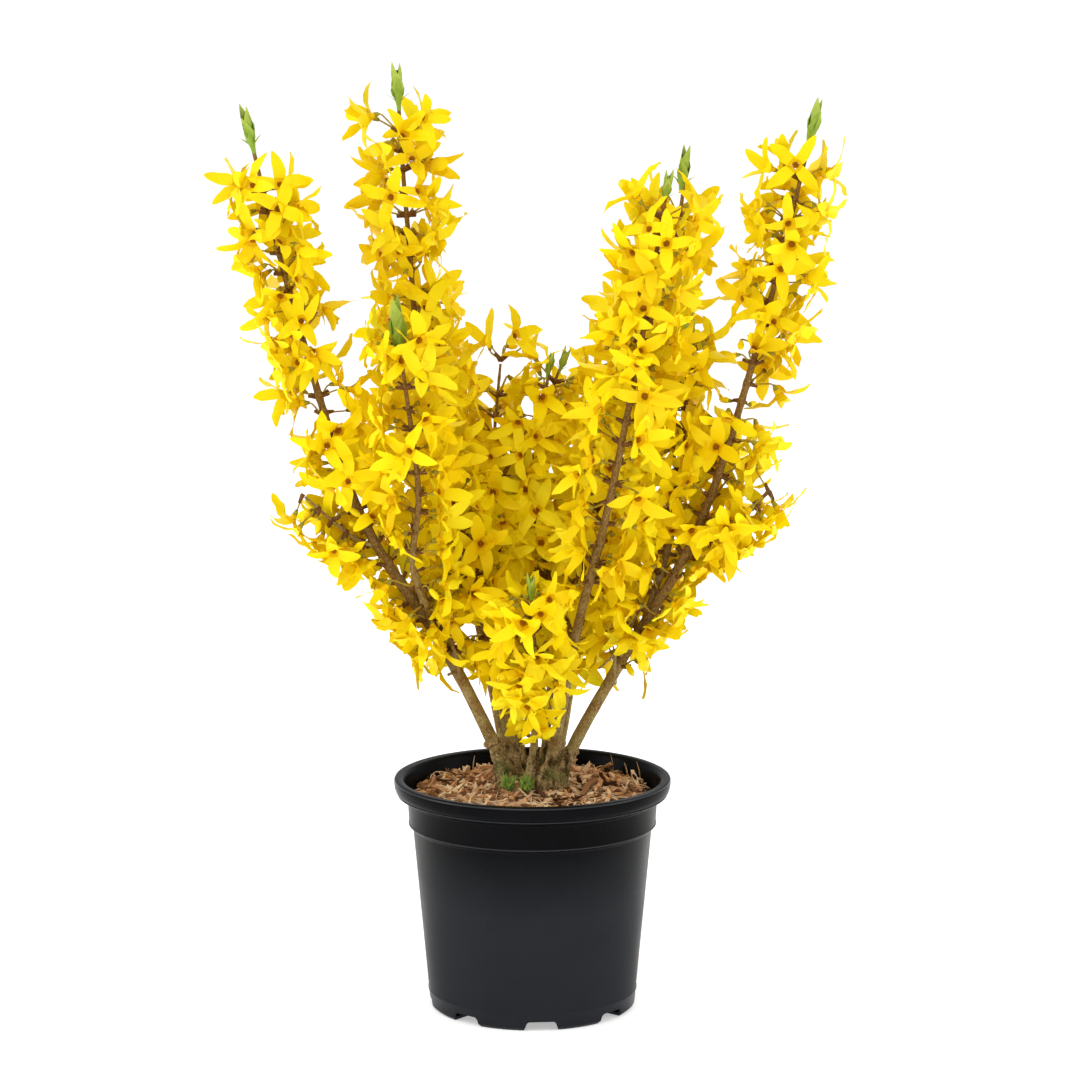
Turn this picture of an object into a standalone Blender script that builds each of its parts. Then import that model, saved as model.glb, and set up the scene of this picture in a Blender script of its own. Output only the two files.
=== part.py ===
"""A forsythia shrub in full flower, standing in a black three-litre nursery pot.

Metres, +Z up. The origin is the centre of the pot's flat underside, on the pot's own axis, and -Y is the
side that the shrub is seen from. The canes rise from one woody crown at the level of the growing medium.
Each cane is a bare bough up to its lowest flowers. Above that it is a mass: the same stem carried on, with
its side twigs, pairs of four-petalled flowers on short stalks at the nodes, and a green shoot at the tip.
"""

import math
import random
from bisect import bisect_left

import bmesh
import bpy
from mathutils import Matrix, Vector
from mathutils.bvhtree import BVHTree

MM = 0.001
SEED = 8
FIT_GAP = 0.3 * MM  # left between solids that touch on the real plant

# Pot: a three-litre container, 190 mm over the lip
POT_HEIGHT = 160 * MM
POT_FACETS = 48
LIP_RADIUS = 95 * MM
LIP_DEPTH = 15 * MM
LIP_ROLL = 3.5 * MM  # rounding of the lip's outer edge
LIP_BELLY = 2.2 * MM  # the lip draws in this much half way down
LIP_SPRING = 7 * MM  # and this much where it leaves the collar
COLLAR_RADIUS = 85.7 * MM
COLLAR_DEPTH = 21 * MM
COLLAR_DRAFT = 0.7 * MM
STEP_SLOPE = 2.5 * MM  # height of the slope between body and collar
BODY_TOP_RADIUS = 82.3 * MM
FOOT_RADIUS = 70.6 * MM
FOOT_CHAMFER = 2 * MM
WALL = 1.8 * MM
FLOOR = 2.5 * MM
MOUTH_FLARE = 2 * MM  # the inside opens by this much through the lip
LIP_FOOT = POT_HEIGHT - LIP_DEPTH
COLLAR_FOOT = LIP_FOOT - COLLAR_DEPTH

# Drain pockets: arches in the foot that let water out under the floor
POCKETS = 8
POCKET_TURN = math.radians(-85)
POCKET_INNER = 50 * MM
POCKET_WIDTH = 26 * MM
POCKET_TOP_WIDTH = 19 * MM
POCKET_HEIGHT = 6.5 * MM
POCKET_LEAN = 3 * MM
CUT_MARGIN = 4 * MM  # how far a cutter runs past the face it cuts
DRAIN_HOLE_RADIUS = 4 * MM
DRAIN_HOLE_INSET = 9 * MM

# Growing medium
SOIL_BELOW_LIP = 14.5 * MM
SOIL_FACETS = 32
SOIL_SWELL = 1.5 * MM
SOIL_RINGS = (0.80, 0.58)  # swollen rings, as shares of the radius at the wall
SOIL_ROUGHNESS = 1.2 * MM
MOUND_RADIUS = 32 * MM
MOUND_HEIGHT = 3.5 * MM
SOIL_TOP = POT_HEIGHT - SOIL_BELOW_LIP
MOUND_TOP = SOIL_TOP + MOUND_HEIGHT

# Crown: the woody stool that the canes spring from
CROWN_FOOT = MOUND_TOP + FIT_GAP
CROWN_FLARE_RADIUS = 27 * MM
CROWN_WAIST_RADIUS = 23 * MM
CROWN_TOP_RADIUS = 11.5 * MM
CROWN_WAIST = 7 * MM
CROWN_HEIGHT = 17 * MM
CROWN_SIDES = 14
CROWN_LOBES = 5
CROWN_SINK = 4 * MM  # the pieces reach this far below the flat cut before it is made
STUB_FLARE = 1.35
STUB_FLARE_LENGTH = 12 * MM
STUB_CLEARANCE = 1.2 * MM  # a cane leaves the crown where it stands this clear of the others
STUB_LIMIT = 55 * MM  # no stub is taller than this above the foot of the crown

# Wood
ROUTE_STEP = 3 * MM
TAPER = 0.85
BOUGH_SIDES = 8
BOUGH_STEP = 27 * MM
STEM_SIDES = 5
STEM_STEP = 34 * MM
TWIG_STEP_RADII = 10  # thin twigs have closer rings, this many times their radius apart
CROSS_TWIG_RADIUS = 1.2 * MM
CROSS_TWIG_RISE = 16 * MM
BUD_LENGTH = 24 * MM
BUD_RADIUS = 3.2 * MM
BUD_SIDES = 4
BUD_SHAPE = ((0.0, 0.5), (0.4, 1.0), (1.0, 0.12))  # shares of its length and of its radius
SHORTEST_SHOOT = 20 * MM  # a limb with less bare wood at its tip has no green shoot

# Flowers, larger than life because there are fewer than on the real shrub
PETALS = 4
PETAL_LENGTH = 26 * MM
PETAL_TIP_WIDTH = 10.5 * MM
THROAT_DEPTH = 1.2 * MM
NECK_RADIUS = 4.8 * MM
NECK_DEPTH = 3.8 * MM
STALK_LENGTH = (13 * MM, 23 * MM)
STALK_RISE = (-0.3, 0.6)
SWEEP = (-0.2, 0.45)  # how far the petal tips stand forward, as a share of their length
TILT = 0.5
DROOP = 0.1
NODE_SPACING = 18 * MM
FIRST_NODE = 7 * MM
NODE_WANDER = 0.6  # radians either side of the regular quarter turns
TRIES = 16  # ways that a flower is turned, each a little smaller, before its place is left empty
SMALLEST = 0.68

# Space kept round the flowers
PLUME_REACH = 45 * MM
SPACE_MARGIN = 3.2 * MM
LIMB_MARGIN = 2.5 * MM
SOIL_CLEARANCE = 24 * MM

CANES = {
    # name: route in mm from the crown to the tip, radius at the foot and at the tip, height where flowers begin,
    # bare shoot above the last flowers
    "left_outer": (
        ((-17, -1, 150), (-62, -5, 254), (-117, -8, 345), (-160, 0, 481), (-194, 10, 617)), 5.4, 1.2, 232, 50,
    ),
    "right_outer": (
        ((17, -1, 150), (63, -5, 246), (114, -8, 338), (158, 0, 480), (192, 10, 621)), 5.0, 1.2, 232, 54,
    ),
    "left_tall": (
        ((-9, 5, 150), (-34, 12, 270), (-72, 26, 412), (-85, 30, 540), (-92, 30, 646)), 4.2, 1.2, 280, 50,
    ),
    "right_tall": (
        ((12, 9, 150), (33, 28, 295), (57, 38, 388), (97, 47, 524), (105, 49, 589)), 4.2, 1.2, 272, 44,
    ),
    "right_front": (
        ((9, -10, 150), (30, -22, 265), (49, -38, 345), (71, -54, 460), (90, -60, 579)), 4.6, 1.2, 288, 32,
    ),
    "centre": (
        ((-3, 14, 150), (-31, 48, 280), (-26, 58, 345), (5, 62, 408), (14, 62, 446)), 3.6, 1.0, 246, 26,
    ),
    "centre_left": (((-11, 16, 150), (-20, 70, 276), (-27, 88, 368), (-22, 94, 452)), 3.4, 0.9, 244, 10),
    "centre_right": (((7, 17, 150), (14, 46, 263), (0, 68, 343), (9, 74, 403), (25, 76, 448)), 3.4, 0.9, 234, 26),
    "front_low": (((-3, -15, 150), (3, -28, 218), (0, -44, 277), (-1, -52, 311)), 3.2, 0.9, 192, 26),
    "back_left": (((-14, 12, 150), (-44, 78, 280), (-70, 112, 390), (-84, 126, 500)), 4.0, 1.0, 252, 34),
    "back_right": (((14, 14, 150), (40, 80, 280), (62, 112, 385), (78, 126, 490)), 4.0, 1.0, 252, 34),
    "back_low": (((0, 20, 150), (4, 72, 225), (6, 108, 290), (8, 132, 350)), 3.2, 0.9, 210, 26),
}

SIDE_TWIGS = {
    # name: cane that it forks from, then the same values for the twig, whose route starts inside that cane
    "left_front": (
        "left_outer",
        ((-66, -5, 262), (-80, -25, 311), (-76, -40, 365), (-86, -57, 454), (-90, -62, 494)), 3.2, 1.0, 0, 32,
    ),
    "right_mid": ("right_outer", ((76, -6, 267), (95, 4, 330), (103, 8, 400), (106, 6, 480)), 3.0, 1.0, 0, 26),
    "left_twig": ("left_outer", ((-103, -7, 320), (-122, -14, 329), (-157, -22, 361)), 1.7, 0.9, 0, 10),
    "right_twig": ("right_outer", ((105, -8, 321), (127, -14, 331), (162, -22, 363)), 1.7, 0.9, 0, 10),
    "low_left": ("left_outer", ((-54, -5, 240), (-55, -12, 256), (-66, -20, 284)), 1.8, 0.9, 0, 10),
    "low_right": ("right_outer", ((61, -5, 242), (62, -12, 258), (78, -20, 290)), 1.8, 0.9, 0, 10),
}

# Canes that stand too close for a mass each share one, tied by a twig that crosses between them
SHARED_MASSES = {"centre": ("centre_left", "centre_right")}


class Route:
    """A smooth line through a few points, read by its length from the foot."""

    def __init__(self, points_mm):
        knots = [Vector(p) * MM for p in points_mm]
        knots = [2 * knots[0] - knots[1], *knots, 2 * knots[-1] - knots[-2]]
        self.points = []
        for before, start, end, after in zip(knots, knots[1:], knots[2:], knots[3:]):
            steps = max(2, round((end - start).length / ROUTE_STEP))
            slope = end - before
            bend = 2 * before - 5 * start + 4 * end - after
            turn = 3 * start - before - 3 * end + after
            for step in range(steps):
                t = step / steps
                self.points.append(start + 0.5 * (slope * t + bend * t ** 2 + turn * t ** 3))
        self.points.append(knots[-2])
        self.lengths = [0.0]
        for a, b in zip(self.points, self.points[1:]):
            self.lengths.append(self.lengths[-1] + (b - a).length)
        self.length = self.lengths[-1]

    def at(self, distance):
        """The point and the direction of the line at this length from its foot."""
        distance = min(max(distance, 0.0), self.length)
        i = max(1, bisect_left(self.lengths, distance))
        a, b = self.points[i - 1], self.points[i]
        share = (distance - self.lengths[i - 1]) / (self.lengths[i] - self.lengths[i - 1])
        return a.lerp(b, share), (b - a).normalized()

    def distance_to(self, point, start=0.0, end=math.inf):
        """How far a point is from the stretch of the line between two lengths."""
        near = [(p - point).length for p, l in zip(self.points, self.lengths) if start <= l <= end]
        return min(near, default=math.inf)

    def length_at_height(self, z):
        return next((l for p, l in zip(self.points, self.lengths) if p.z >= z), 0.0)


class Limb:
    """One cane or twig: its route, its taper, and where its bare wood ends and its flowers begin."""

    def __init__(self, name, route_mm, foot_radius, tip_radius, bloom_height, shoot):
        self.name = name
        self.route = Route(route_mm)
        self.foot_radius = foot_radius * MM
        self.tip_radius = tip_radius * MM
        self.bloom_start = self.route.length_at_height(bloom_height * MM)
        self.shoot = shoot * MM
        self.start = 0.0

    def radius(self, distance):
        share = (distance / self.route.length) ** TAPER
        return self.foot_radius + (self.tip_radius - self.foot_radius) * share

    def frame(self, distance):
        """Point, direction along the limb, and two directions across it."""
        point, along = self.route.at(distance)
        side = along.cross(Vector((0, 1, 0))).normalized()
        return point, along, side, along.cross(side).normalized()

    def ring(self, distance, sides, radius=None):
        point, _, side, across = self.frame(distance)
        return ring_about(point, side, across, self.radius(distance) if radius is None else radius, sides)


def ring_about(centre, side, across, radius, sides):
    """Points evenly round a centre, in the plane of two directions."""
    turns = [2 * math.pi * k / sides for k in range(sides)]
    return [centre + radius * (math.cos(t) * side + math.sin(t) * across) for t in turns]


def level_ring(centre, radius, sides):
    """Points evenly round a centre at one height, in step with the rings of an upright limb."""
    return ring_about(centre, Vector((-1, 0, 0)), Vector((0, -1, 0)), radius, sides)


def spaced(start, end, step):
    """Even lengths from start to end, no further apart than a step."""
    count = max(1, math.ceil((end - start) / step))
    return [start + (end - start) * k / count for k in range(count + 1)]


def principled(name, colour, roughness):
    material = bpy.data.materials.new(name)
    material.use_nodes = True
    shader = material.node_tree.nodes["Principled BSDF"]
    shader.inputs["Base Color"].default_value = (*colour, 1.0)
    shader.inputs["Roughness"].default_value = roughness
    shader.inputs["Metallic"].default_value = 0.0
    material.diffuse_color = (*colour, 1.0)
    return material


def add_object(name, bm):
    """A scene object from a closed bmesh, with its faces turned outwards."""
    bmesh.ops.recalc_face_normals(bm, faces=bm.faces)
    mesh = bpy.data.meshes.new(name)
    bm.to_mesh(mesh)
    bm.free()
    obj = bpy.data.objects.new(name, mesh)
    bpy.context.scene.collection.objects.link(obj)
    return obj


def tube(name, rings):
    """A closed tube: the face of its first ring, extruded from ring to ring."""
    bm = bmesh.new()
    foot = [bm.verts.new(point) for point in rings[0]]
    face = bm.faces.new(foot)
    for ring in rings[1:]:
        face = bmesh.ops.extrude_discrete_faces(bm, faces=[face])["faces"][0]
        for vert, point in zip(face.verts, ring):
            vert.co = point
    bm.faces.new(foot)
    return add_object(name, bm)


def lathe(name, profile, facets):
    """A closed solid spun about Z from (radius, height) points, whose first and last lie on the axis."""
    bm = bmesh.new()
    verts = [bm.verts.new((radius, 0, z)) for radius, z in profile]
    edges = [bm.edges.new(pair) for pair in zip(verts, verts[1:])]
    bmesh.ops.spin(
        bm, geom=verts + edges, cent=(0, 0, 0), axis=(0, 0, 1), angle=2 * math.pi, steps=facets, use_merge=True,
    )
    bmesh.ops.remove_doubles(bm, verts=bm.verts, dist=0.01 * MM)
    return add_object(name, bm)


def dress(obj, material, smooth_below=0):
    """Gives a solid its one material, and smooth shading across edges flatter than an angle in degrees."""
    obj.data.materials.clear()
    obj.data.materials.append(material)
    if smooth_below:
        obj.data.shade_smooth()
        obj.data.set_sharp_from_angle(angle=math.radians(smooth_below))


def boolean(obj, operation, others):
    """Joins or cuts obj with a collection of closed objects, applies the result and removes the others."""
    group = bpy.data.collections.new(obj.name + "_others")
    bpy.context.scene.collection.children.link(group)
    for other in others:
        bpy.context.scene.collection.objects.unlink(other)
        group.objects.link(other)
    step = obj.modifiers.new(operation, "BOOLEAN")
    step.operation = operation
    step.operand_type = "COLLECTION"
    step.collection = group
    step.solver = "EXACT"
    bpy.context.view_layer.update()
    result = bpy.data.meshes.new_from_object(obj.evaluated_get(bpy.context.evaluated_depsgraph_get()))
    obj.modifiers.clear()
    obj.data = result
    for other in others:
        bpy.data.objects.remove(other)
    bpy.data.collections.remove(group)


def body_radius(z):
    """Outer radius of the pot's tapering body, from its foot to the step under its collar."""
    return FOOT_RADIUS + (BODY_TOP_RADIUS - FOOT_RADIUS) * z / COLLAR_FOOT


def inner_profile(gap=0.0):
    """The pot's inside as (radius, height) pairs from the floor up to the lip, drawn in by a gap."""
    inset = WALL + gap
    return [
        (body_radius(FLOOR) - inset, FLOOR + gap),
        (BODY_TOP_RADIUS - inset, COLLAR_FOOT - WALL),
        (COLLAR_RADIUS - COLLAR_DRAFT - inset, COLLAR_FOOT + FLOOR),
        (COLLAR_RADIUS - inset, LIP_FOOT),
    ]


def round_the_foot(make):
    """One piece for each drain pocket, made at azimuth zero and turned to its place."""
    pieces = []
    for k in range(POCKETS):
        piece = make()
        piece.data.transform(Matrix.Rotation(POCKET_TURN + 2 * math.pi * k / POCKETS, 4, "Z"))
        pieces.append(piece)
    return pieces


def pockets(grow=0.0):
    """The flared block of each drain pocket, or of its housing when it is grown by the wall."""
    outer = BODY_TOP_RADIUS

    def block():
        rings = []
        for z, width, inner in (
            (-CUT_MARGIN, POCKET_WIDTH, POCKET_INNER),
            (POCKET_HEIGHT + grow, POCKET_TOP_WIDTH, POCKET_INNER + POCKET_LEAN),
        ):
            half, inner = width / 2 + grow, inner - grow
            rings.append([(inner, -half, z), (outer, -half, z), (outer, half, z), (inner, half, z)])
        return tube("pocket", rings)

    return round_the_foot(block)


def drain_holes():
    """An upright rod through the roof of each pocket."""

    def rod():
        heights = (POCKET_HEIGHT - CUT_MARGIN / 2, POCKET_HEIGHT + WALL + CUT_MARGIN)
        centres = [Vector((POCKET_INNER + DRAIN_HOLE_INSET, 0, z)) for z in heights]
        return tube("drain", [level_ring(centre, DRAIN_HOLE_RADIUS, BOUGH_SIDES) for centre in centres])

    return round_the_foot(rod)


def make_pot(material):
    """Thin-walled pot with a rolled lip, a stepped collar, a tapering body and an arched foot."""
    outside = [
        (0, 0),
        (FOOT_RADIUS - FOOT_CHAMFER, 0),
        (body_radius(FOOT_CHAMFER), FOOT_CHAMFER),
        (BODY_TOP_RADIUS, COLLAR_FOOT - STEP_SLOPE),
        (COLLAR_RADIUS - COLLAR_DRAFT, COLLAR_FOOT),
        (COLLAR_RADIUS, LIP_FOOT),
        (LIP_RADIUS - LIP_SPRING, LIP_FOOT + LIP_ROLL / 2),
        (LIP_RADIUS - LIP_BELLY, POT_HEIGHT - LIP_DEPTH / 2),
        (LIP_RADIUS, POT_HEIGHT - LIP_ROLL),
        (LIP_RADIUS - LIP_ROLL, POT_HEIGHT),
        (0, POT_HEIGHT),
    ]
    mouth = [
        (COLLAR_RADIUS + MOUTH_FLARE, POT_HEIGHT - WALL),
        (COLLAR_RADIUS + 2 * MOUTH_FLARE, POT_HEIGHT + CUT_MARGIN),
    ]
    inside = [(0, FLOOR), *inner_profile(), *mouth, (0, POT_HEIGHT + CUT_MARGIN)]
    cavity = lathe("cavity", inside, POT_FACETS)
    boolean(cavity, "DIFFERENCE", pockets(grow=WALL))
    pot = lathe("pot", outside, POT_FACETS)
    boolean(pot, "DIFFERENCE", [cavity, *pockets(), *drain_holes()])
    dress(pot, material, smooth_below=35)


def make_soil(material, dice):
    """The root ball and its bark mulch: it fills the pot and rises a little round the crown."""
    sides = inner_profile(FIT_GAP)
    edge_radius = sides[-1][0]
    swell = [(edge_radius * share, SOIL_TOP + SOIL_SWELL) for share in SOIL_RINGS]
    sides[-1] = (edge_radius, SOIL_TOP)
    profile = [(0, sides[0][1]), *sides, *swell, (MOUND_RADIUS, MOUND_TOP), (0, MOUND_TOP)]
    soil = lathe("soil", profile, SOIL_FACETS)
    for vert in soil.data.vertices:
        if vert.co.z > SOIL_TOP - FIT_GAP and vert.co.xy.length > MOUND_RADIUS + FIT_GAP:
            vert.co.z += dice.uniform(-SOIL_ROUGHNESS, SOIL_ROUGHNESS)
    boolean(soil, "DIFFERENCE", pockets(grow=WALL + FIT_GAP))
    dress(soil, material, smooth_below=35)


def grow_masses():
    """The canes, and the limbs of each mass: a cane first, then the canes and twigs that share its mass."""
    canes = {name: Limb(name, *facts) for name, facts in CANES.items()}
    settle_starts(list(canes.values()))
    sharing = {other: name for name, others in SHARED_MASSES.items() for other in others}
    masses = {name: [cane] for name, cane in canes.items() if name not in sharing}
    for other, name in sharing.items():
        masses[name].append(canes[other])
    for name, (cane, *facts) in SIDE_TWIGS.items():
        masses[cane].append(Limb(name, *facts))
    return list(canes.values()), list(masses.values())


def settle_starts(canes):
    """A cane leaves the crown where it stands clear of the other canes."""
    for cane in canes:
        cane.start = cane.route.length_at_height(CROWN_FOOT + CROWN_HEIGHT + CROWN_SINK)
        highest = cane.route.length_at_height(CROWN_FOOT + STUB_LIMIT)
        for point, length in zip(cane.route.points, cane.route.lengths):
            for other in canes:
                room = cane.radius(length) + other.foot_radius + STUB_CLEARANCE
                if other is not cane and length < highest and other.route.distance_to(point) < room:
                    cane.start = max(cane.start, length)


def make_crown(canes, material):
    """The stool: a flared foot cut flat on the medium, with a stub for each cane fused on."""
    core = []
    for radius, rise, lobe in (
        (CROWN_FLARE_RADIUS, -CROWN_SINK, 0.10),
        (CROWN_WAIST_RADIUS, CROWN_WAIST, 0.07),
        (CROWN_TOP_RADIUS, CROWN_HEIGHT, 0.0),
    ):
        ring = level_ring(Vector((0, 0, CROWN_FOOT + rise)), radius, CROWN_SIDES)
        for k, point in enumerate(ring):
            swell = 1 + lobe * math.sin(CROWN_LOBES * 2 * math.pi * k / CROWN_SIDES)
            ring[k] = Vector((swell * point.x, swell * point.y, point.z))
        core.append(ring)
    crown = tube("crown", core)
    stubs = []
    for cane in canes:
        x, y, _ = cane.route.points[0]
        foot = Vector((x, y, CROWN_FOOT - CROWN_SINK / 2))
        flare = level_ring(foot, STUB_FLARE * cane.foot_radius, BOUGH_SIDES)
        lengths = spaced(STUB_FLARE_LENGTH, cane.start, BOUGH_STEP)
        stubs.append(tube("stub", [flare, *(cane.ring(length, BOUGH_SIDES) for length in lengths)]))
    boolean(crown, "UNION", stubs)
    below = [level_ring(Vector((0, 0, z)), LIP_RADIUS, POCKETS) for z in (0, CROWN_FOOT)]
    boolean(crown, "DIFFERENCE", [tube("below", below)])
    dress(crown, material, smooth_below=50)


def make_bough(cane, material):
    """The bare lower wood of a cane, up to its lowest flowers."""
    lengths = spaced(cane.start + FIT_GAP, cane.bloom_start, BOUGH_STEP)
    bough = tube("bough_" + cane.name, [cane.ring(length, BOUGH_SIDES) for length in lengths])
    dress(bough, material, smooth_below=60)


class Flower:
    """One four-petalled flower on its stalk. Each petal is a thin wedge from the neck to a blunt tip."""

    def __init__(self, limb, distance, turn, size, dice):
        root, along, side, across = limb.frame(distance)
        outwards = math.cos(turn) * side + math.sin(turn) * across
        stalk = (outwards + dice.uniform(*STALK_RISE) * along).normalized()
        centre = root + (limb.radius(distance) + size * dice.uniform(*STALK_LENGTH)) * stalk
        drift = Vector([dice.uniform(-TILT, TILT) for _ in range(3)])
        facing = (stalk + drift - Vector((0, 0, DROOP))).normalized()
        right = facing.cross(along).normalized()
        top = right.cross(facing).normalized()
        twist = dice.uniform(0, 2 * math.pi / PETALS)
        reach = size * PETAL_LENGTH
        sweep = reach * dice.uniform(*SWEEP)
        corners, neck = [], []
        for k in range(PETALS):
            angle = twist + 2 * math.pi * k / PETALS
            ray = math.cos(angle) * right + math.sin(angle) * top
            wide = math.cos(angle) * top - math.sin(angle) * right
            for half in (-0.5, 0.5):
                corners.append(centre + reach * ray + half * size * PETAL_TIP_WIDTH * wide + sweep * facing)
            neck.append(centre + size * (NECK_RADIUS * (ray - wide).normalized() - NECK_DEPTH * facing))
        self.throat = centre - THROAT_DEPTH * facing
        self.points = [root, self.throat, *neck, *corners]
        self.petals, self.stalk = self.faces()
        self.petal_tree = BVHTree.FromPolygons(self.points, self.petals)
        self.whole_tree = BVHTree.FromPolygons(self.points, self.petals + self.stalk)

    @staticmethod
    def faces():
        """Faces of the petals and of the stalk, by the order of the flower's points."""
        root, throat, neck, corner = 0, 1, 2, 2 + PETALS
        petals, stalk = [], []
        for k in range(PETALS):
            base, next_base = neck + k, neck + (k + 1) % PETALS
            left, right = corner + 2 * k, corner + 2 * k + 1
            petals += [(throat, base, left), (throat, left, right), (throat, right, next_base)]
            petals += [(left, base, next_base), (left, next_base, right)]
            stalk.append((base, root, next_base))
        return petals, stalk

    def crosses(self, other):
        """True where the petals of one flower pass through any part of the other."""
        if (self.throat - other.throat).length > 2 * (PETAL_LENGTH + PETAL_TIP_WIDTH):
            return False
        return bool(self.petal_tree.overlap(other.whole_tree) or self.whole_tree.overlap(other.petal_tree))

    def samples(self):
        """Points spread over the flower: its own but the root, and the middle of each petal and of the stalk."""
        root, throat = self.points[:2]
        middles = [throat.lerp(corner, 0.5) for corner in self.points[2 + PETALS::2]]
        return [*self.points[1:], throat.lerp(root, 0.5), *middles]

    def solid(self):
        bm = bmesh.new()
        verts = [bm.verts.new(point) for point in self.points]
        for face in self.petals + self.stalk:
            bm.faces.new([verts[i] for i in face])
        return add_object("flower", bm)


def keeps_to_its_space(flower, mass, canes, masses):
    """True where a flower stays within its plume, nearer its own wood than any other, and clear of bare wood."""
    for point in flower.samples():
        own = min(limb.route.distance_to(point, limb.bloom_start) for limb in mass)
        if own > PLUME_REACH or point.z < MOUND_TOP + SOIL_CLEARANCE:
            return False
        for cane in canes:
            clear = cane.foot_radius + LIMB_MARGIN
            if cane in mass:
                clear = min(clear, own)
            if cane.route.distance_to(point, end=cane.bloom_start) < clear:
                return False
        for other in masses:
            theirs = min(limb.route.distance_to(point, limb.bloom_start) for limb in other)
            if other is not mass and theirs < own + SPACE_MARGIN:
                return False
    return True


def bud(limb):
    """The closed green shoot at a tip, a slender spindle."""
    foot = limb.route.length - BUD_LENGTH
    rings = [limb.ring(foot + along * BUD_LENGTH, BUD_SIDES, wide * BUD_RADIUS) for along, wide in BUD_SHAPE]
    return tube("bud", rings)


def stem(limb, name="stem"):
    """The flowering wood of a limb, from its lowest flowers into its tip."""
    foot = limb.bloom_start + (FIT_GAP if limb.bloom_start else 0.0)
    step = min(STEM_STEP, TWIG_STEP_RADII * limb.foot_radius)
    lengths = spaced(foot, limb.route.length - limb.tip_radius, step)
    return tube(name, [limb.ring(length, STEM_SIDES) for length in lengths])


def cross_twig(start, end):
    """A thin twig that ties two canes of one mass together."""
    ends = [limb.route.at(limb.bloom_start + CROSS_TWIG_RISE)[0] for limb in (start, end)]
    along = (ends[1] - ends[0]).normalized()
    side = along.cross(Vector((0, 0, 1))).normalized()
    across = along.cross(side)
    return tube("cross_twig", [ring_about(p, side, across, CROSS_TWIG_RADIUS, STEM_SIDES) for p in ends])


def surface_tree(obj):
    verts = [vert.co for vert in obj.data.vertices]
    return BVHTree.FromPolygons(verts, [list(face.vertices) for face in obj.data.polygons])


def bloom(mass, canes, masses, wood, dice):
    """Flowers in opposite pairs that turn a quarter from node to node, where they cross no wood and no flower."""
    trees = [surface_tree(piece) for piece in wood]
    flowers = []
    for limb in mass:
        first_turn = dice.uniform(0, math.pi)
        nodes = spaced(limb.bloom_start + FIRST_NODE, limb.route.length - limb.shoot, NODE_SPACING)
        for place in range(2 * len(nodes)):
            regular = first_turn + math.pi * place + math.pi / 2 * (place // 2)
            for attempt in range(TRIES):
                turn = regular + dice.uniform(-NODE_WANDER, NODE_WANDER)
                size = 1 - (1 - SMALLEST) * attempt / TRIES
                flower = Flower(limb, nodes[place // 2], turn, size, dice)
                if any(flower.petal_tree.overlap(tree) for tree in trees):
                    continue
                if any(flower.crosses(other) for other in flowers):
                    continue
                if keeps_to_its_space(flower, mass, canes, masses):
                    flowers.append(flower)
                    break
    return flowers


def make_mass(mass, canes, masses, material, dice):
    """A flowering mass: the upper wood of its limbs with their flowers and tip shoots, fused into one body."""
    first, *rest = mass
    body = stem(first, "bloom_" + first.name)
    wood = [stem(limb) for limb in rest] + [cross_twig(first, limb) for limb in rest if limb in canes]
    flowers = bloom(mass, canes, masses, [body, *wood], dice)
    shoots = [bud(limb) for limb in mass if limb.shoot > SHORTEST_SHOOT]
    boolean(body, "UNION", [*wood, *shoots, *(flower.solid() for flower in flowers)])
    dress(body, material)


def main():
    for obj in list(bpy.data.objects):
        bpy.data.objects.remove(obj)
    dice = random.Random(SEED)
    plastic = principled("moulded_black_polypropylene", (0.016, 0.016, 0.018), 0.45)
    mulch = principled("bark_mulch", (0.20, 0.10, 0.05), 0.95)
    bark = principled("forsythia_bark", (0.16, 0.09, 0.045), 0.85)
    blossom = principled("forsythia_blossom", (0.93, 0.68, 0.01), 0.55)
    make_pot(plastic)
    make_soil(mulch, dice)
    canes, masses = grow_masses()
    make_crown(canes, bark)
    for cane in canes:
        make_bough(cane, bark)
    for mass in masses:
        make_mass(mass, canes, masses, blossom, dice)


main()
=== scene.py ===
"""Looks of a young forsythia in full flower, in its black nursery pot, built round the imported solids.

Metres, +Z up. The origin is the centre of the pot's underside, and the shrub is seen from -Y. The canes
follow the routes of the solids. Their flowers stand by the same rule as there, only closer and finer.
"""

import logging
import math
import random
from bisect import bisect_left
from dataclasses import dataclass, field
from enum import Enum
from functools import partial
from typing import Any, Callable, Sequence

import bmesh
import bpy
from mathutils import Matrix, Vector, noise
from mathutils.bvhtree import BVHTree


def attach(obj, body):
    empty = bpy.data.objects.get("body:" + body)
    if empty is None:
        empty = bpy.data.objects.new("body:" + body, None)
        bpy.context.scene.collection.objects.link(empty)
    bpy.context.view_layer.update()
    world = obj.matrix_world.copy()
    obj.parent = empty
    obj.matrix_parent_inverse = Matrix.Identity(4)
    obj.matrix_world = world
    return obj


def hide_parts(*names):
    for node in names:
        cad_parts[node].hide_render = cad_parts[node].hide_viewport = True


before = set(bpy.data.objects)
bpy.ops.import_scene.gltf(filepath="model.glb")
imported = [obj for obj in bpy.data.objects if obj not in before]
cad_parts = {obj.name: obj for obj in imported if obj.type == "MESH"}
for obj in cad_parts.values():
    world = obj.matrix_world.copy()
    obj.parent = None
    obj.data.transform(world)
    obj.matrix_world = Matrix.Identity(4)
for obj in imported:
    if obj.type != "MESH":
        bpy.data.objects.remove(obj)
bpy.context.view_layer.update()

MM = 0.001
SEED = 21
BODY = "root"
UP = Vector((0, 0, 1))
CAMERA_PLACE = (0.0052, -2.414, 0.717)
NOISE_RANGE = (0.3, 0.7)
OF_COLOURS = {"out": 2, "data_type": "RGBA"}
SHADING = {**OF_COLOURS, "blend_type": "MULTIPLY"}

AddNode = Callable[..., bpy.types.NodeSocket]
Sockets = dict[str, bpy.types.NodeSocket]

log = logging.getLogger("forsythia")


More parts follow.
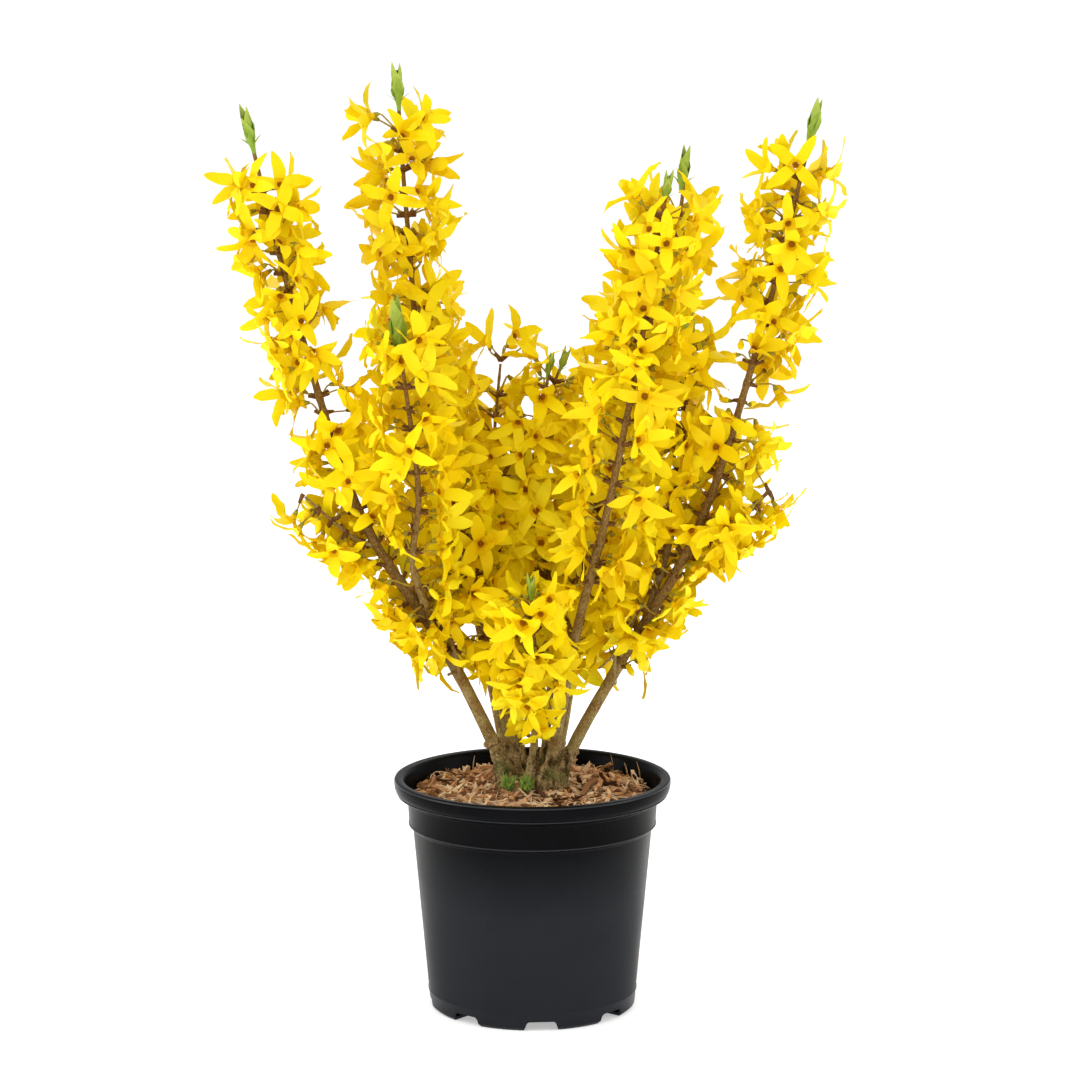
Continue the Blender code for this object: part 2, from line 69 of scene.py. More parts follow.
def linear(hex_code: str) -> tuple[float, ...]:
    """Turns an sRGB hex colour to linear light.

    Args:
        hex_code: The colour as "#RRGGBB".

    Returns:
        Red, green, blue and a full alpha.
    """
    channels = [int(hex_code[i : i + 2], 16) / 255 for i in (1, 3, 5)]
    return (*(c / 12.92 if c <= 0.04045 else ((c + 0.055) / 1.055) ** 2.4 for c in channels), 1.0)


def add_node(
    tree: bpy.types.NodeTree,
    kind: str,
    inputs: dict[Any, Any] | list[Any],
    out: int | str = 0,
    **settings: Any,
) -> bpy.types.NodeSocket:
    """Adds a node to a material.

    Args:
        tree: The material's node tree.
        kind: The node's type, without Blender's ShaderNode in front.
        inputs: By name or number, or in their own order: a value, a hex colour or the socket that feeds it.
        out: Name or number of the output that is used.
        **settings: The node's own properties.

    Returns:
        That output.
    """
    node = tree.nodes.new("ShaderNode" + kind)
    for name, value in settings.items():
        setattr(node, name, value)
    for key, value in inputs.items() if isinstance(inputs, dict) else enumerate(inputs):
        if isinstance(value, bpy.types.NodeSocket):
            tree.links.new(value, node.inputs[key])
        else:
            node.inputs[key].default_value = linear(value) if isinstance(value, str) else value
    return node.outputs[out]


@dataclass(frozen=True)
class Finish:
    """A finish of one colour. Where the real surface has a pattern, a subclass adds it."""

    name: str
    colour: str
    roughness: float = 0.5
    specular: float = 0.4
    sheen: float = 0.0
    painted_glow: float = 0.0

    def material(self) -> bpy.types.Material:
        """Makes the material.

        Returns:
            A node material, with the finish's own pattern where it has one.
        """
        made = bpy.data.materials.new(self.name)
        made.use_nodes = True
        made.diffuse_color = linear(self.colour)
        shader = made.node_tree.nodes["Principled BSDF"]
        plain = {
            "Base Color": linear(self.colour),
            "Roughness": self.roughness,
            "Specular IOR Level": self.specular,
            "Sheen Weight": self.sheen,
            # Emission: the painted glow of a finish that has one
            "Emission Color": linear(self.colour),
            "Emission Strength": self.painted_glow,
        }
        for name, value in plain.items():
            shader.inputs[name].default_value = value
        for name, socket in self.pattern(partial(add_node, made.node_tree)).items():
            made.node_tree.links.new(socket, shader.inputs[name])
        return made

    def pattern(self, add: AddNode) -> Sockets:
        """A plain finish has no pattern."""
        return {}


@dataclass(frozen=True)
class CaneBark(Finish):
    """Smooth young bark that greys and roughens with age, with the pale corky pores of forsythia.

    The piece carries two attributes: bark_place, the point on the limb as if it were straight, and bark_age,
    which is 0 at a green tip and 1 at the foot.
    """

    old_colour: str = "#B8A66C"
    patches_in_metre: float = 90.0
    patch_edge: tuple[float, float] = (0.35, 0.65)
    pore_colour: str = "#D9C39A"
    pore_spacing: float = 2.6 * MM
    pore_edge: tuple[float, float] = (0.08, 0.22)
    pore_strength: float = 0.55
    grain_width: float = 0.8 * MM
    grain_run: float = 0.4
    grain_shade: tuple[float, float] = (0.38, 1.34)
    grain_depth: float = 0.4 * MM

    def pattern(self, add: AddNode) -> Sockets:
        """Adds the colours of young and old bark, the pores and the grain.

        Args:
            add: Adds a node to the material.

        Returns:
            The inputs of the shader that the pattern feeds.
        """
        place = add("Attribute", {}, out="Vector", attribute_name="bark_place")
        age = add("Attribute", {}, out="Fac", attribute_name="bark_age")
        along = add("Mapping", {"Vector": place, "Scale": (1.0, 1.0, self.grain_run)})
        grain = add("TexNoise", {"Vector": along, "Scale": 1 / self.grain_width, "Detail": 6.0})
        patches = add("TexNoise", {"Vector": place, "Scale": self.patches_in_metre, "Detail": 4.0})
        pores = add("TexVoronoi", {"Vector": place, "Scale": 1 / self.pore_spacing}, feature="F1")
        pore = add("MapRange", [pores, *self.pore_edge, 1.0, 0.0])
        greying = add("MapRange", [patches, *self.patch_edge])
        share = add("Math", [age, greying], operation="MULTIPLY")
        base = add("Mix", {0: share, 6: self.colour, 7: self.old_colour}, **OF_COLOURS)
        shade = add("MapRange", [grain, *NOISE_RANGE, *self.grain_shade])
        shaded = add("Mix", {0: 1.0, 6: base, 7: shade}, **SHADING)
        faint = add("Math", [pore, self.pore_strength], operation="MULTIPLY")
        dotted = add("Mix", {0: faint, 6: shaded, 7: self.pore_colour}, **OF_COLOURS)
        height = add("Math", [grain, pore], operation="ADD")
        bump = add("Bump", {"Height": height, "Strength": 0.7, "Distance": self.grain_depth})
        return {"Base Color": dotted, "Normal": bump}


@dataclass(frozen=True)
class StoolBark(Finish):
    """Flaking grey-brown bark of the old wood at soil level, with a little moss green in its hollows."""

    flake_colour: str = "#C8A974"
    flake_width: float = 4.0 * MM
    flake_run: float = 0.45
    flake_edge: tuple[float, float] = (0.36, 0.62)
    flake_depth: float = 1.6 * MM
    crumb_width: float = 1.3 * MM
    crumb_shade: tuple[float, float] = (0.3, 1.45)
    moss_colour: str = "#4E5C20"
    moss_in_metre: float = 70.0
    moss_edge: tuple[float, float] = (0.52, 0.66)
    moss_strength: float = 0.55

    def pattern(self, add: AddNode) -> Sockets:
        """Adds the flakes, the furrows between them and the moss.

        Args:
            add: Adds a node to the material.

        Returns:
            The inputs of the shader that the pattern feeds.
        """
        place = add("TexCoord", {}, out="Object")
        upright = add("Mapping", {"Vector": place, "Scale": (1.0, 1.0, self.flake_run)})
        furrows = add("TexNoise", {"Vector": upright, "Scale": 1 / self.flake_width, "Detail": 8.0})
        crumbs = add("TexNoise", {"Vector": place, "Scale": 1 / self.crumb_width, "Detail": 5.0})
        mossy = add("TexNoise", {"Vector": place, "Scale": self.moss_in_metre, "Detail": 3.0})
        share = add("MapRange", [furrows, *self.flake_edge])
        bark = add("Mix", {0: share, 6: self.colour, 7: self.flake_colour}, **OF_COLOURS)
        speck = add("MapRange", [crumbs, *NOISE_RANGE, *self.crumb_shade])
        rough = add("Mix", {0: 1.0, 6: bark, 7: speck}, **SHADING)
        growth = add("MapRange", [mossy, *self.moss_edge, 0.0, self.moss_strength])
        grown = add("Mix", {0: growth, 6: rough, 7: self.moss_colour}, **OF_COLOURS)
        height = add("Math", [furrows, crumbs], operation="ADD")
        bump = add("Bump", {"Height": height, "Strength": 1.0, "Distance": self.flake_depth})
        return {"Base Color": grown, "Normal": bump}


@dataclass(frozen=True)
class Polypropylene(Finish):
    """Black polypropylene, moulded thin: a satin skin with faint flow marks and patches of dust. A painted
    gradient greys it towards the foot and keeps it dark below the collar as painted shade.
    """

    dust_and_painted_gradient_colour: str = "#282A2E"
    dust_patches: float = 0.2
    painted_gradient_strength: float = 0.8
    full_gradient_below: float = 78.0 * MM
    painted_shade_above: float = 128.0 * MM
    flow_width: float = 38.0 * MM
    flow_roughness: tuple[float, float] = (0.24, 0.36)
    grit: float = 0.9 * MM
    grit_depth: float = 0.15 * MM

    def pattern(self, add: AddNode) -> Sockets:
        """Adds the dust patches, the painted gradient towards the foot, the flow marks and the skin's fine
        unevenness.

        Args:
            add: Adds a node to the material.

        Returns:
            The inputs of the shader that the pattern feeds.
        """
        place = add("TexCoord", {}, out="Object")
        flow = add("TexNoise", {"Vector": place, "Scale": 1 / self.flow_width, "Detail": 3.0})
        grit = add("TexNoise", {"Vector": place, "Scale": 1 / self.grit, "Detail": 3.0})
        height = add("SeparateXYZ", [place], out="Z")
        # Painted gradient: grey towards the foot, dark below the collar as painted shade
        low = add("MapRange", [height, self.full_gradient_below, self.painted_shade_above, self.painted_gradient_strength, 0.0])
        dust_and_gradient = add("Math", [flow, self.dust_patches, low], operation="MULTIPLY_ADD", use_clamp=True)
        base = add("Mix", {0: dust_and_gradient, 6: self.colour, 7: self.dust_and_painted_gradient_colour}, **OF_COLOURS)
        dull = add("MapRange", [flow, *NOISE_RANGE, *self.flow_roughness])
        bump = add("Bump", {"Height": grit, "Strength": 0.12, "Distance": self.grit_depth})
        return {"Base Color": base, "Roughness": dull, "Normal": bump}


@dataclass(frozen=True)
class ShreddedBark(Finish):
    """Shredded bark and wood fibre: each chip has its own shade, from pale splinter to dark damp bark.

    The piece carries chip_tone, one value for each chip.
    """

    pale_colour: str = "#F6DBB2"
    dark_colour: str = "#3E2314"
    fibre_width: float = 0.8 * MM
    fibre_shade: tuple[float, float] = (0.6, 1.2)
    fibre_depth: float = 0.3 * MM

    def pattern(self, add: AddNode) -> Sockets:
        """Adds the chips' shades and fibres.

        Args:
            add: Adds a node to the material.

        Returns:
            The inputs of the shader that the pattern feeds.
        """
        place = add("TexCoord", {}, out="Object")
        tone = add("Attribute", {}, out="Fac", attribute_name="chip_tone")
        fibres = add("TexNoise", {"Vector": place, "Scale": 1 / self.fibre_width, "Detail": 5.0})
        ramp = add("ValToRGB", [tone])
        stops = ramp.node.color_ramp.elements
        stops[0].color = linear(self.dark_colour)
        stops[1].color = linear(self.pale_colour)
        middle = stops.new(0.5)
        middle.color = linear(self.colour)
        shade = add("MapRange", [fibres, *NOISE_RANGE, *self.fibre_shade])
        shaded = add("Mix", {0: 1.0, 6: ramp, 7: shade}, **SHADING)
        bump = add("Bump", {"Height": fibres, "Strength": 0.6, "Distance": self.fibre_depth})
        return {"Base Color": shaded, "Normal": bump}


@dataclass(frozen=True)
class PottingMix(Finish):
    """Dark moist crumbs between the chips. The base is deepened to near black as painted shade in the gaps
    between the chips.
    """

    crumb_colour: str = "#54351F"
    crumb: float = 2.2 * MM
    crumb_edge: tuple[float, float] = (0.42, 0.66)
    crumb_depth: float = 1.5 * MM

    def pattern(self, add: AddNode) -> Sockets:
        """Adds the crumbs.

        Args:
            add: Adds a node to the material.

        Returns:
            The inputs of the shader that the pattern feeds.
        """
        place = add("TexCoord", {}, out="Object")
        crumbs = add("TexNoise", {"Vector": place, "Scale": 1 / self.crumb, "Detail": 7.0})
        share = add("MapRange", [crumbs, *self.crumb_edge])
        base = add("Mix", {0: share, 6: self.colour, 7: self.crumb_colour}, **OF_COLOURS)
        bump = add("Bump", {"Height": crumbs, "Strength": 1.0, "Distance": self.crumb_depth})
        return {"Base Color": base, "Normal": bump}


@dataclass(frozen=True)
class PlantSkin(Finish):
    """Living skin of stalks, sepals, bud scales and moss, which is never of one even colour."""

    deep_colour: str = "#4A4A1A"
    mottle_width: float = 2.2 * MM
    mottle_edge: tuple[float, float] = (0.4, 0.7)
    mottle_strength: float = 0.6

    def pattern(self, add: AddNode) -> Sockets:
        """Mottles the colour with a deeper one.

        Args:
            add: Adds a node to the material.

        Returns:
            The inputs of the shader that the pattern feeds.
        """
        place = add("TexCoord", {}, out="Object")
        mottle = add("TexNoise", {"Vector": place, "Scale": 1 / self.mottle_width, "Detail": 3.0})
        share = add("MapRange", [mottle, *self.mottle_edge, 0.0, self.mottle_strength])
        base = add("Mix", {0: share, 6: self.colour, 7: self.deep_colour}, **OF_COLOURS)
        return {"Base Color": base}


@dataclass(frozen=True)
class YoungLeaf(Finish):
    """Folded young leaves: fresh green at the foot, paler towards the tip, with a soft waxy skin.

    The piece carries leaf_share, which is 0 at a leaf's foot and 1 at its tip.
    """

    tip_colour: str = "#C0CF5C"
    mottles_in_metre: float = 450.0
    mottle_strength: tuple[float, float] = (0.6, 1.1)

    def pattern(self, add: AddNode) -> Sockets:
        """Adds the uneven fade towards the tip.

        Args:
            add: Adds a node to the material.

        Returns:
            The inputs of the shader that the pattern feeds.
        """
        share = add("Attribute", {}, out="Fac", attribute_name="leaf_share")
        place = add("TexCoord", {}, out="Object")
        mottle = add("TexNoise", {"Vector": place, "Scale": self.mottles_in_metre, "Detail": 3.0})
        uneven = add("MapRange", [mottle, *NOISE_RANGE, *self.mottle_strength])
        fade = add("Math", [share, uneven], operation="MULTIPLY", use_clamp=True)
        base = add("Mix", {0: fade, 6: self.colour, 7: self.tip_colour}, **OF_COLOURS)
        return {"Base Color": base}


@dataclass(frozen=True)
class Petal(Finish):
    """Thin soft petal with hardly any gloss. A faint even painted glow stands for the light that shines through.
    """

    specular: float = 0.1
    painted_glow: float = 0.055


# Ochre-brown wands with pale dots, lighter and greyer towards the foot
CANE_BARK = CaneBark("forsythia_cane_bark", "#92703A", roughness=0.75, specular=0.2)
# Pale flakes over dark furrows, with no gloss at all
STOOL_BARK = StoolBark("forsythia_stool_bark", "#54401F", roughness=0.9, specular=0.15)
# Deep black with a long soft highlight, and a grey foot, partly dust and partly a painted gradient that leaves
# painted shade under the collar
BLACK_POT = Polypropylene("moulded_black_polypropylene", "#040405", roughness=0.28, specular=0.035)
# The same skin, dulled by damp
POT_INSIDE = Polypropylene("damp_black_polypropylene", "#040404", roughness=0.6, specular=0.04)
# Grey bands on the edge beads and the lip's top edge: painted highlights, which show as thin pale lines round
# the pot
POT_HIGHLIGHT_BANDS = Polypropylene(
    "black_polypropylene_painted_highlight", "#26272A", roughness=0.4, specular=0.25, dust_and_painted_gradient_colour="#3A3B3E"
)
# Reddish-brown litter from straw-pale to nearly black
BARK_CHIPS = ShreddedBark("shredded_bark_mulch", "#CF9562", roughness=0.9, specular=0.15)
# Near-black bed: the mix's own dark brown, deepened as painted shade in the gaps between the chips
MIX_WITH_GAP_SHADE = PottingMix("potting_mix_with_painted_gap_shade", "#1E110A", roughness=0.95, specular=0.2)
# The only fresh greens of the shrub
FRESH_LEAF = YoungLeaf("young_forsythia_leaf", "#84A632", roughness=0.5, specular=0.2)
MOSS = PlantSkin("cushion_moss", "#8FAC3C", roughness=0.9, specular=0.1, sheen=0.2, deep_colour="#4C6A1C")
# Small olive and brown touches between wood and flower
STALK_GREEN = PlantSkin("olive_flower_stalk", "#BCA236", roughness=0.7, specular=0.1, deep_colour="#86641E")
BUD_SCALE = PlantSkin("brown_bud_scale", "#7C5428", roughness=0.7, specular=0.25, deep_colour="#4A3014")
SEPAL = PlantSkin("olive_sepal", "#ACA034", roughness=0.7, specular=0.1, deep_colour="#7C6A22")
# The orange eye of each flower
THROAT = Finish("orange_brown_throat", "#C4820F", roughness=0.6, specular=0.1)
PISTIL = Finish("brown_gold_stamens", "#A36C16", roughness=0.6, specular=0.1)
PETAL_HEART = Petal("deep_yellow_petal_foot", "#EEC400", painted_glow=0.03)


class Tone(Enum):
    """Yellows of the petals, dealt out spray by spray."""

    CLEAR = Petal("clear_yellow_petal", "#FBE30E")
    LEMON = Petal("lemon_petal", "#FBE71C")
    FULL = Petal("full_yellow_petal", "#FBDF0E")
    GOLD = Petal("golden_petal", "#F3D40C")


class FlowerPart(Enum):
    """Material numbers of a flower. The petals come last, and each tone adds its own place to theirs."""

    HEART = 0
    THROAT = 1
    PISTIL = 2
    SEPAL = 3
    PETAL = 4


def flower_materials() -> list[bpy.types.Material]:
    """Materials of a flower piece, in the order of FlowerPart and then of Tone."""
    parts = [PETAL_HEART, THROAT, PISTIL, SEPAL]
    return [finish.material() for finish in (*parts, *(tone.value for tone in Tone))]


def add_object(name: str, data: bpy.types.ID) -> bpy.types.Object:
    """Puts a new object in the scene.

    Args:
        name: Its name.
        data: Its mesh, light or camera.

    Returns:
        The object.
    """
    made = bpy.data.objects.new(name, data)
    bpy.context.scene.collection.objects.link(made)
    return made


def add_piece(
    name: str,
    mesh: bpy.types.Mesh,
    materials: Sequence[bpy.types.Material],
    replaces: Sequence[str] = (),
    smooth_below: float = 180.0,
) -> bpy.types.Object:
    """Puts a finished mesh in the scene as a piece of the shrub.

    Args:
        name: The piece's name.
        mesh: Its mesh, in place.
        materials: Materials in the order of the mesh's material numbers.
        replaces: CAD nodes that the piece stands for.
        smooth_below: Edges flatter than this many degrees are shaded smooth.

    Returns:
        The piece.
    """
    piece = add_object(name, mesh)
    for material in materials:
        mesh.materials.append(material)
    mesh.shade_smooth()
    if smooth_below < 180.0:
        mesh.set_sharp_from_angle(angle=math.radians(smooth_below))
    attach(piece, BODY)
    if replaces:
        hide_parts(*replaces)
    mesh.calc_loop_triangles()
    log.info("%s: %d triangles", name, len(mesh.loop_triangles))
    return piece


def finished(bm: bmesh.types.BMesh, name: str) -> bpy.types.Mesh:
    """Turns a bmesh to a mesh and frees it.

    Args:
        bm: The bmesh.
        name: The mesh's name.

    Returns:
        The mesh.
    """
    mesh = bpy.data.meshes.new(name)
    bm.to_mesh(mesh)
    bm.free()
    return mesh


def shaped(thing: bpy.types.Object) -> bpy.types.Mesh:
    """Takes an object out of the scene and keeps its mesh as its modifiers shape it.

    Args:
        thing: The object.

    Returns:
        The mesh.
    """
    bpy.context.view_layer.update()
    mesh = bpy.data.meshes.new_from_object(thing.evaluated_get(bpy.context.evaluated_depsgraph_get()))
    bpy.data.objects.remove(thing)
    return mesh


def set_attribute(mesh: bpy.types.Mesh, name: str, values: Sequence[float], kind: str = "FLOAT") -> None:
    """Gives the vertices of a mesh an attribute that their material reads.

    Args:
        mesh: The mesh.
        name: The attribute's name.
        values: Its values in turn, three for each vertex where it is a vector.
        kind: FLOAT or FLOAT_VECTOR.
    """
    layer = mesh.attributes.new(name, kind, "POINT")
    layer.data.foreach_set("value" if kind == "FLOAT" else "vector", values)


def search_tree(mesh: bpy.types.Mesh, place: Matrix) -> BVHTree:
    """Search tree of a mesh's faces.

    Args:
        mesh: The mesh.
        place: Its place, turn and size.

    Returns:
        The tree.
    """
    points = [place @ vert.co for vert in mesh.vertices]
    return BVHTree.FromPolygons(points, [list(face.vertices) for face in mesh.polygons])


def add_copy(
    bm: bmesh.types.BMesh, mould: bpy.types.Mesh, place: Matrix, shift: int = 0, above: int = 0
) -> None:
    """Joins a copy of a small mesh into a bmesh.

    Args:
        bm: Where the copy goes.
        mould: The small mesh.
        place: Its place, turn and size.
        shift: Added to the copy's material numbers.
        above: Only numbers from this one up are shifted.
    """
    copy = mould.copy()
    copy.transform(place)
    if shift:
        for face in copy.polygons:
            if face.material_index >= above:
                face.material_index += shift
    bm.from_mesh(copy)
    bpy.data.meshes.remove(copy)


def ring_about(centre: Vector, side: Vector, across: Vector, radius: float, sides: int) -> list[Vector]:
    """Points evenly round a centre.

    Args:
        centre: The centre.
        side: A direction in the ring's plane.
        across: The other direction, square to it.
        radius: The ring's radius.
        sides: How many points it has.

    Returns:
        The points.
    """
    turns = [2 * math.pi * k / sides for k in range(sides)]
    return [centre + radius * (math.cos(t) * side + math.sin(t) * across) for t in turns]


def add_tube(bm: bmesh.types.BMesh, rings: Sequence[Sequence[Vector]]) -> int:
    """Extrudes a closed tube from ring to ring and joins it into a bmesh.

    Args:
        bm: Where the tube goes.
        rings: The points of each ring, alike in number.

    Returns:
        The number of its vertices, which come ring by ring.
    """
    tube = bmesh.new()
    foot = [tube.verts.new(point) for point in rings[0]]
    face = tube.faces.new(foot)
    for ring in rings[1:]:
        face = bmesh.ops.extrude_discrete_faces(tube, faces=[face])["faces"][0]
        for vert, point in zip(face.verts, ring):
            vert.co = point
    tube.faces.new(foot)
    count = len(tube.verts)
    mesh = finished(tube, "tube")
    bm.from_mesh(mesh)
    bpy.data.meshes.remove(mesh)
    return count


def clamp(value: float, low: float = 0.0, high: float = 1.0) -> float:
    """Keeps a value between two others."""
    return min(max(value, low), high)


def turn_to(direction: Vector, roll: float = 0.0) -> Matrix:
    """A turn that takes +Z to a direction, after a roll about +Z."""
    return direction.to_track_quat("Z", "Y").to_matrix().to_4x4() @ Matrix.Rotation(roll, 4, "Z")


class Route:
    """A smooth line through a few points in millimetres, read by its length from the foot."""

    step = 2 * MM

    def __init__(self, points_mm: Sequence[Sequence[float]]) -> None:
        """Lays the line.

        Args:
            points_mm: The points that the line goes through.
        """
        knots = [Vector(p) * MM for p in points_mm]
        knots = [2 * knots[0] - knots[1], *knots, 2 * knots[-1] - knots[-2]]
        self.points: list[Vector] = []
        for before, start, end, after in zip(knots, knots[1:], knots[2:], knots[3:]):
            steps = max(2, round((end - start).length / self.step))
            slope = end - before
            bend = 2 * before - 5 * start + 4 * end - after
            turn = 3 * start - before - 3 * end + after
            for k in range(steps):
                t = k / steps
                self.points.append(start + 0.5 * (slope * t + bend * t**2 + turn * t**3))
        self.points.append(knots[-2])
        self.lengths = [0.0]
        for a, b in zip(self.points, self.points[1:]):
            self.lengths.append(self.lengths[-1] + (b - a).length)
        self.length = self.lengths[-1]

    def at(self, distance: float) -> tuple[Vector, Vector]:
        """Point and direction of the line at a length from its foot.

        Args:
            distance: The length.

        Returns:
            The point and the direction.
        """
        distance = clamp(distance, 0.0, self.length)
        i = int(clamp(bisect_left(self.lengths, distance), 1, len(self.points) - 1))
        a, b = self.points[i - 1], self.points[i]
        return a.lerp(b, (distance - self.lengths[i - 1]) / (b - a).length), (b - a).normalized()

    def length_at_height(self, z: float) -> float:
        """Length from the foot where the line first reaches a height."""
        return next((length for p, length in zip(self.points, self.lengths) if p.z >= z), 0.0)


@dataclass
class Limb:
    """One cane or twig, on the route and with the taper of its solid."""

    name: str
    mass: str
    route_mm: Sequence[Sequence[float]]
    foot_radius: float
    tip_radius: float
    bloom_height: float
    shoot: float
    taper: float = 0.85
    node_spacing: float = 14.0 * MM
    node_jitter: float = 2.0 * MM
    turn_jitter: float = 0.3
    first_node: float = 7 * MM
    nodes: list[float] = field(default_factory=list)
    turns: list[float] = field(default_factory=list)

    def __post_init__(self) -> None:
        """Lays the route and turns the sizes, given in millimetres, to metres."""
        self.route = Route(self.route_mm)
        self.foot_radius *= MM
        self.tip_radius *= MM
        self.shoot *= MM
        self.bloom_start = self.route.length_at_height(self.bloom_height * MM)

    def set_nodes(self, dice: random.Random) -> None:
        """Deals out the nodes from the top down, where leaves, buds and flowers stand in opposite pairs.

        Args:
            dice: The seeded source of chance.
        """
        here = self.route.length - self.shoot
        turn = dice.gauss(0, self.turn_jitter)
        while here > self.bloom_start + self.first_node:
            self.nodes.append(here)
            self.turns.append(turn)
            here -= self.node_spacing + dice.uniform(-self.node_jitter, self.node_jitter)
            turn += math.pi / 2 + dice.uniform(-self.turn_jitter, self.turn_jitter)

    def radius(self, distance: float) -> float:
        """Radius of the wood at a length from the foot."""
        share = (clamp(distance, 0.0, self.route.length) / self.route.length) ** self.taper
        return self.foot_radius + (self.tip_radius - self.foot_radius) * share

    def frame(self, distance: float) -> tuple[Vector, Vector, Vector, Vector]:
        """The limb's own directions at a place on it.

        Args:
            distance: Length from the foot.

        Returns:
            The point, the direction along the limb, and two directions across it.
        """
        point, along = self.route.at(distance)
        side = along.cross(Vector((0, 1, 0))).normalized()
        return point, along, side, along.cross(side).normalized()


def limbs() -> list[Limb]:
    """The canes, which start in the stool, and then the side twigs, whose flowers have no lowest height.

    Returns:
        The limbs: name, mass, route, radius at foot and tip, height of the lowest flowers and bare shoot, in mm.
    """
    return [
        Limb(
            "left_outer", "left_outer",
            (
                (-13, -1, 150), (-30.5, -3, 192), (-62, -5, 254),
                (-117, -8, 345), (-160, 0, 481), (-194, 10, 617),
            ),
            5.4, 1.2, 232, 58,
        ),
        Limb(
            "right_outer", "right_outer",
            (
                (14, -1, 150), (32, -3, 190), (63, -5, 246),
                (114, -8, 338), (158, 0, 480), (192, 10, 621),
            ),
            5.0, 1.2, 232, 54,
        ),
        Limb(
            "left_tall", "left_tall",
            ((-9, 5, 150), (-34, 12, 270), (-72, 26, 412), (-85, 30, 540), (-92, 30, 646)), 4.2, 1.2, 222, 47,
        ),
        Limb(
            "right_tall", "right_tall",
            ((12, 9, 150), (33, 28, 295), (57, 38, 388), (97, 47, 524), (105, 49, 589)), 4.2, 1.2, 224, 48,
        ),
        Limb(
            "right_front", "right_front",
            ((9, -10, 150), (30, -22, 265), (49, -38, 345), (71, -54, 460), (90, -60, 579)),
            4.6, 1.2, 288, 32,
        ),
        Limb(
            "centre", "centre",
            ((-3, 14, 150), (-31, 48, 280), (-26, 58, 345), (5, 62, 408), (14, 62, 446)), 3.6, 1.0, 236, 26,
        ),
        Limb(
            "centre_left", "centre",
            ((-11, 16, 150), (-20, 70, 276), (-27, 88, 368), (-22, 94, 440)), 3.4, 0.9, 244, 3,
        ),
        Limb(
            "centre_right", "centre",
            ((7, 17, 150), (14, 46, 263), (0, 68, 343), (9, 74, 403), (25, 76, 448)), 3.4, 0.9, 234, 26,
        ),
        Limb(
            "front_low", "front_low",
            ((-3, -15, 150), (3, -28, 218), (0, -44, 277), (-1, -52, 311)),
            3.2, 0.9, 178, 26, node_spacing=9 * MM,
        ),
        Limb(
            "back_left", "back_left",
            ((-14, 12, 150), (-44, 78, 280), (-70, 112, 390), (-84, 126, 500)), 4.0, 1.0, 252, 34,
        ),
        Limb(
            "back_right", "back_right",
            ((14, 14, 150), (40, 80, 280), (62, 112, 385), (78, 126, 490)), 4.0, 1.0, 252, 34,
        ),
        Limb(
            "back_low", "back_low",
            ((0, 20, 150), (4, 72, 225), (6, 108, 290), (8, 132, 350)), 3.2, 0.9, 210, 26,
        ),
        Limb(
            "left_front", "left_outer",
            ((-66, -5, 262), (-80, -25, 311), (-76, -40, 365), (-86, -57, 454), (-90, -62, 494)),
            3.2, 1.0, 0, 32,
        ),
        Limb(
            "right_mid", "right_outer",
            ((76, -6, 267), (95, 4, 330), (103, 8, 400), (106, 6, 480)), 3.0, 1.0, 0, 26,
        ),
        Limb(
            "left_twig", "left_outer",
            ((-103, -7, 320), (-122, -14, 329), (-157, -22, 361)), 1.7, 0.9, 0, 4,
        ),
        Limb("right_twig", "right_outer", ((105, -8, 321), (127, -14, 331), (162, -22, 363)), 1.7, 0.9, 0, 4),
        Limb("low_left", "left_outer", ((-54, -5, 240), (-55, -12, 256), (-66, -20, 284)), 1.8, 0.9, 0, 10),
        Limb("low_right", "right_outer", ((61, -5, 242), (62, -12, 258), (78, -20, 290)), 1.8, 0.9, 0, 10),
        Limb("bare_left", "left_outer", ((-50, -5, 228), (-51, -13, 244), (-60, -17, 268)), 1.9, 0.9, 0, 90),
        Limb(
            "bare_right", "right_outer",
            ((56, -6, 226), (56, -13, 244), (57, -15, 250), (66, -18, 268)), 1.9, 0.9, 0, 90,
        ),
        Limb("bare_fork", "right_outer", ((57, -14, 250), (48, -17, 241), (40, -19, 236)), 1.1, 0.6, 0, 90),
        Limb("drop_left", "left_outer", ((-51, -5, 234), (-56, -12, 234), (-62, -16, 231)), 1.3, 0.9, 0, 2),
    ]


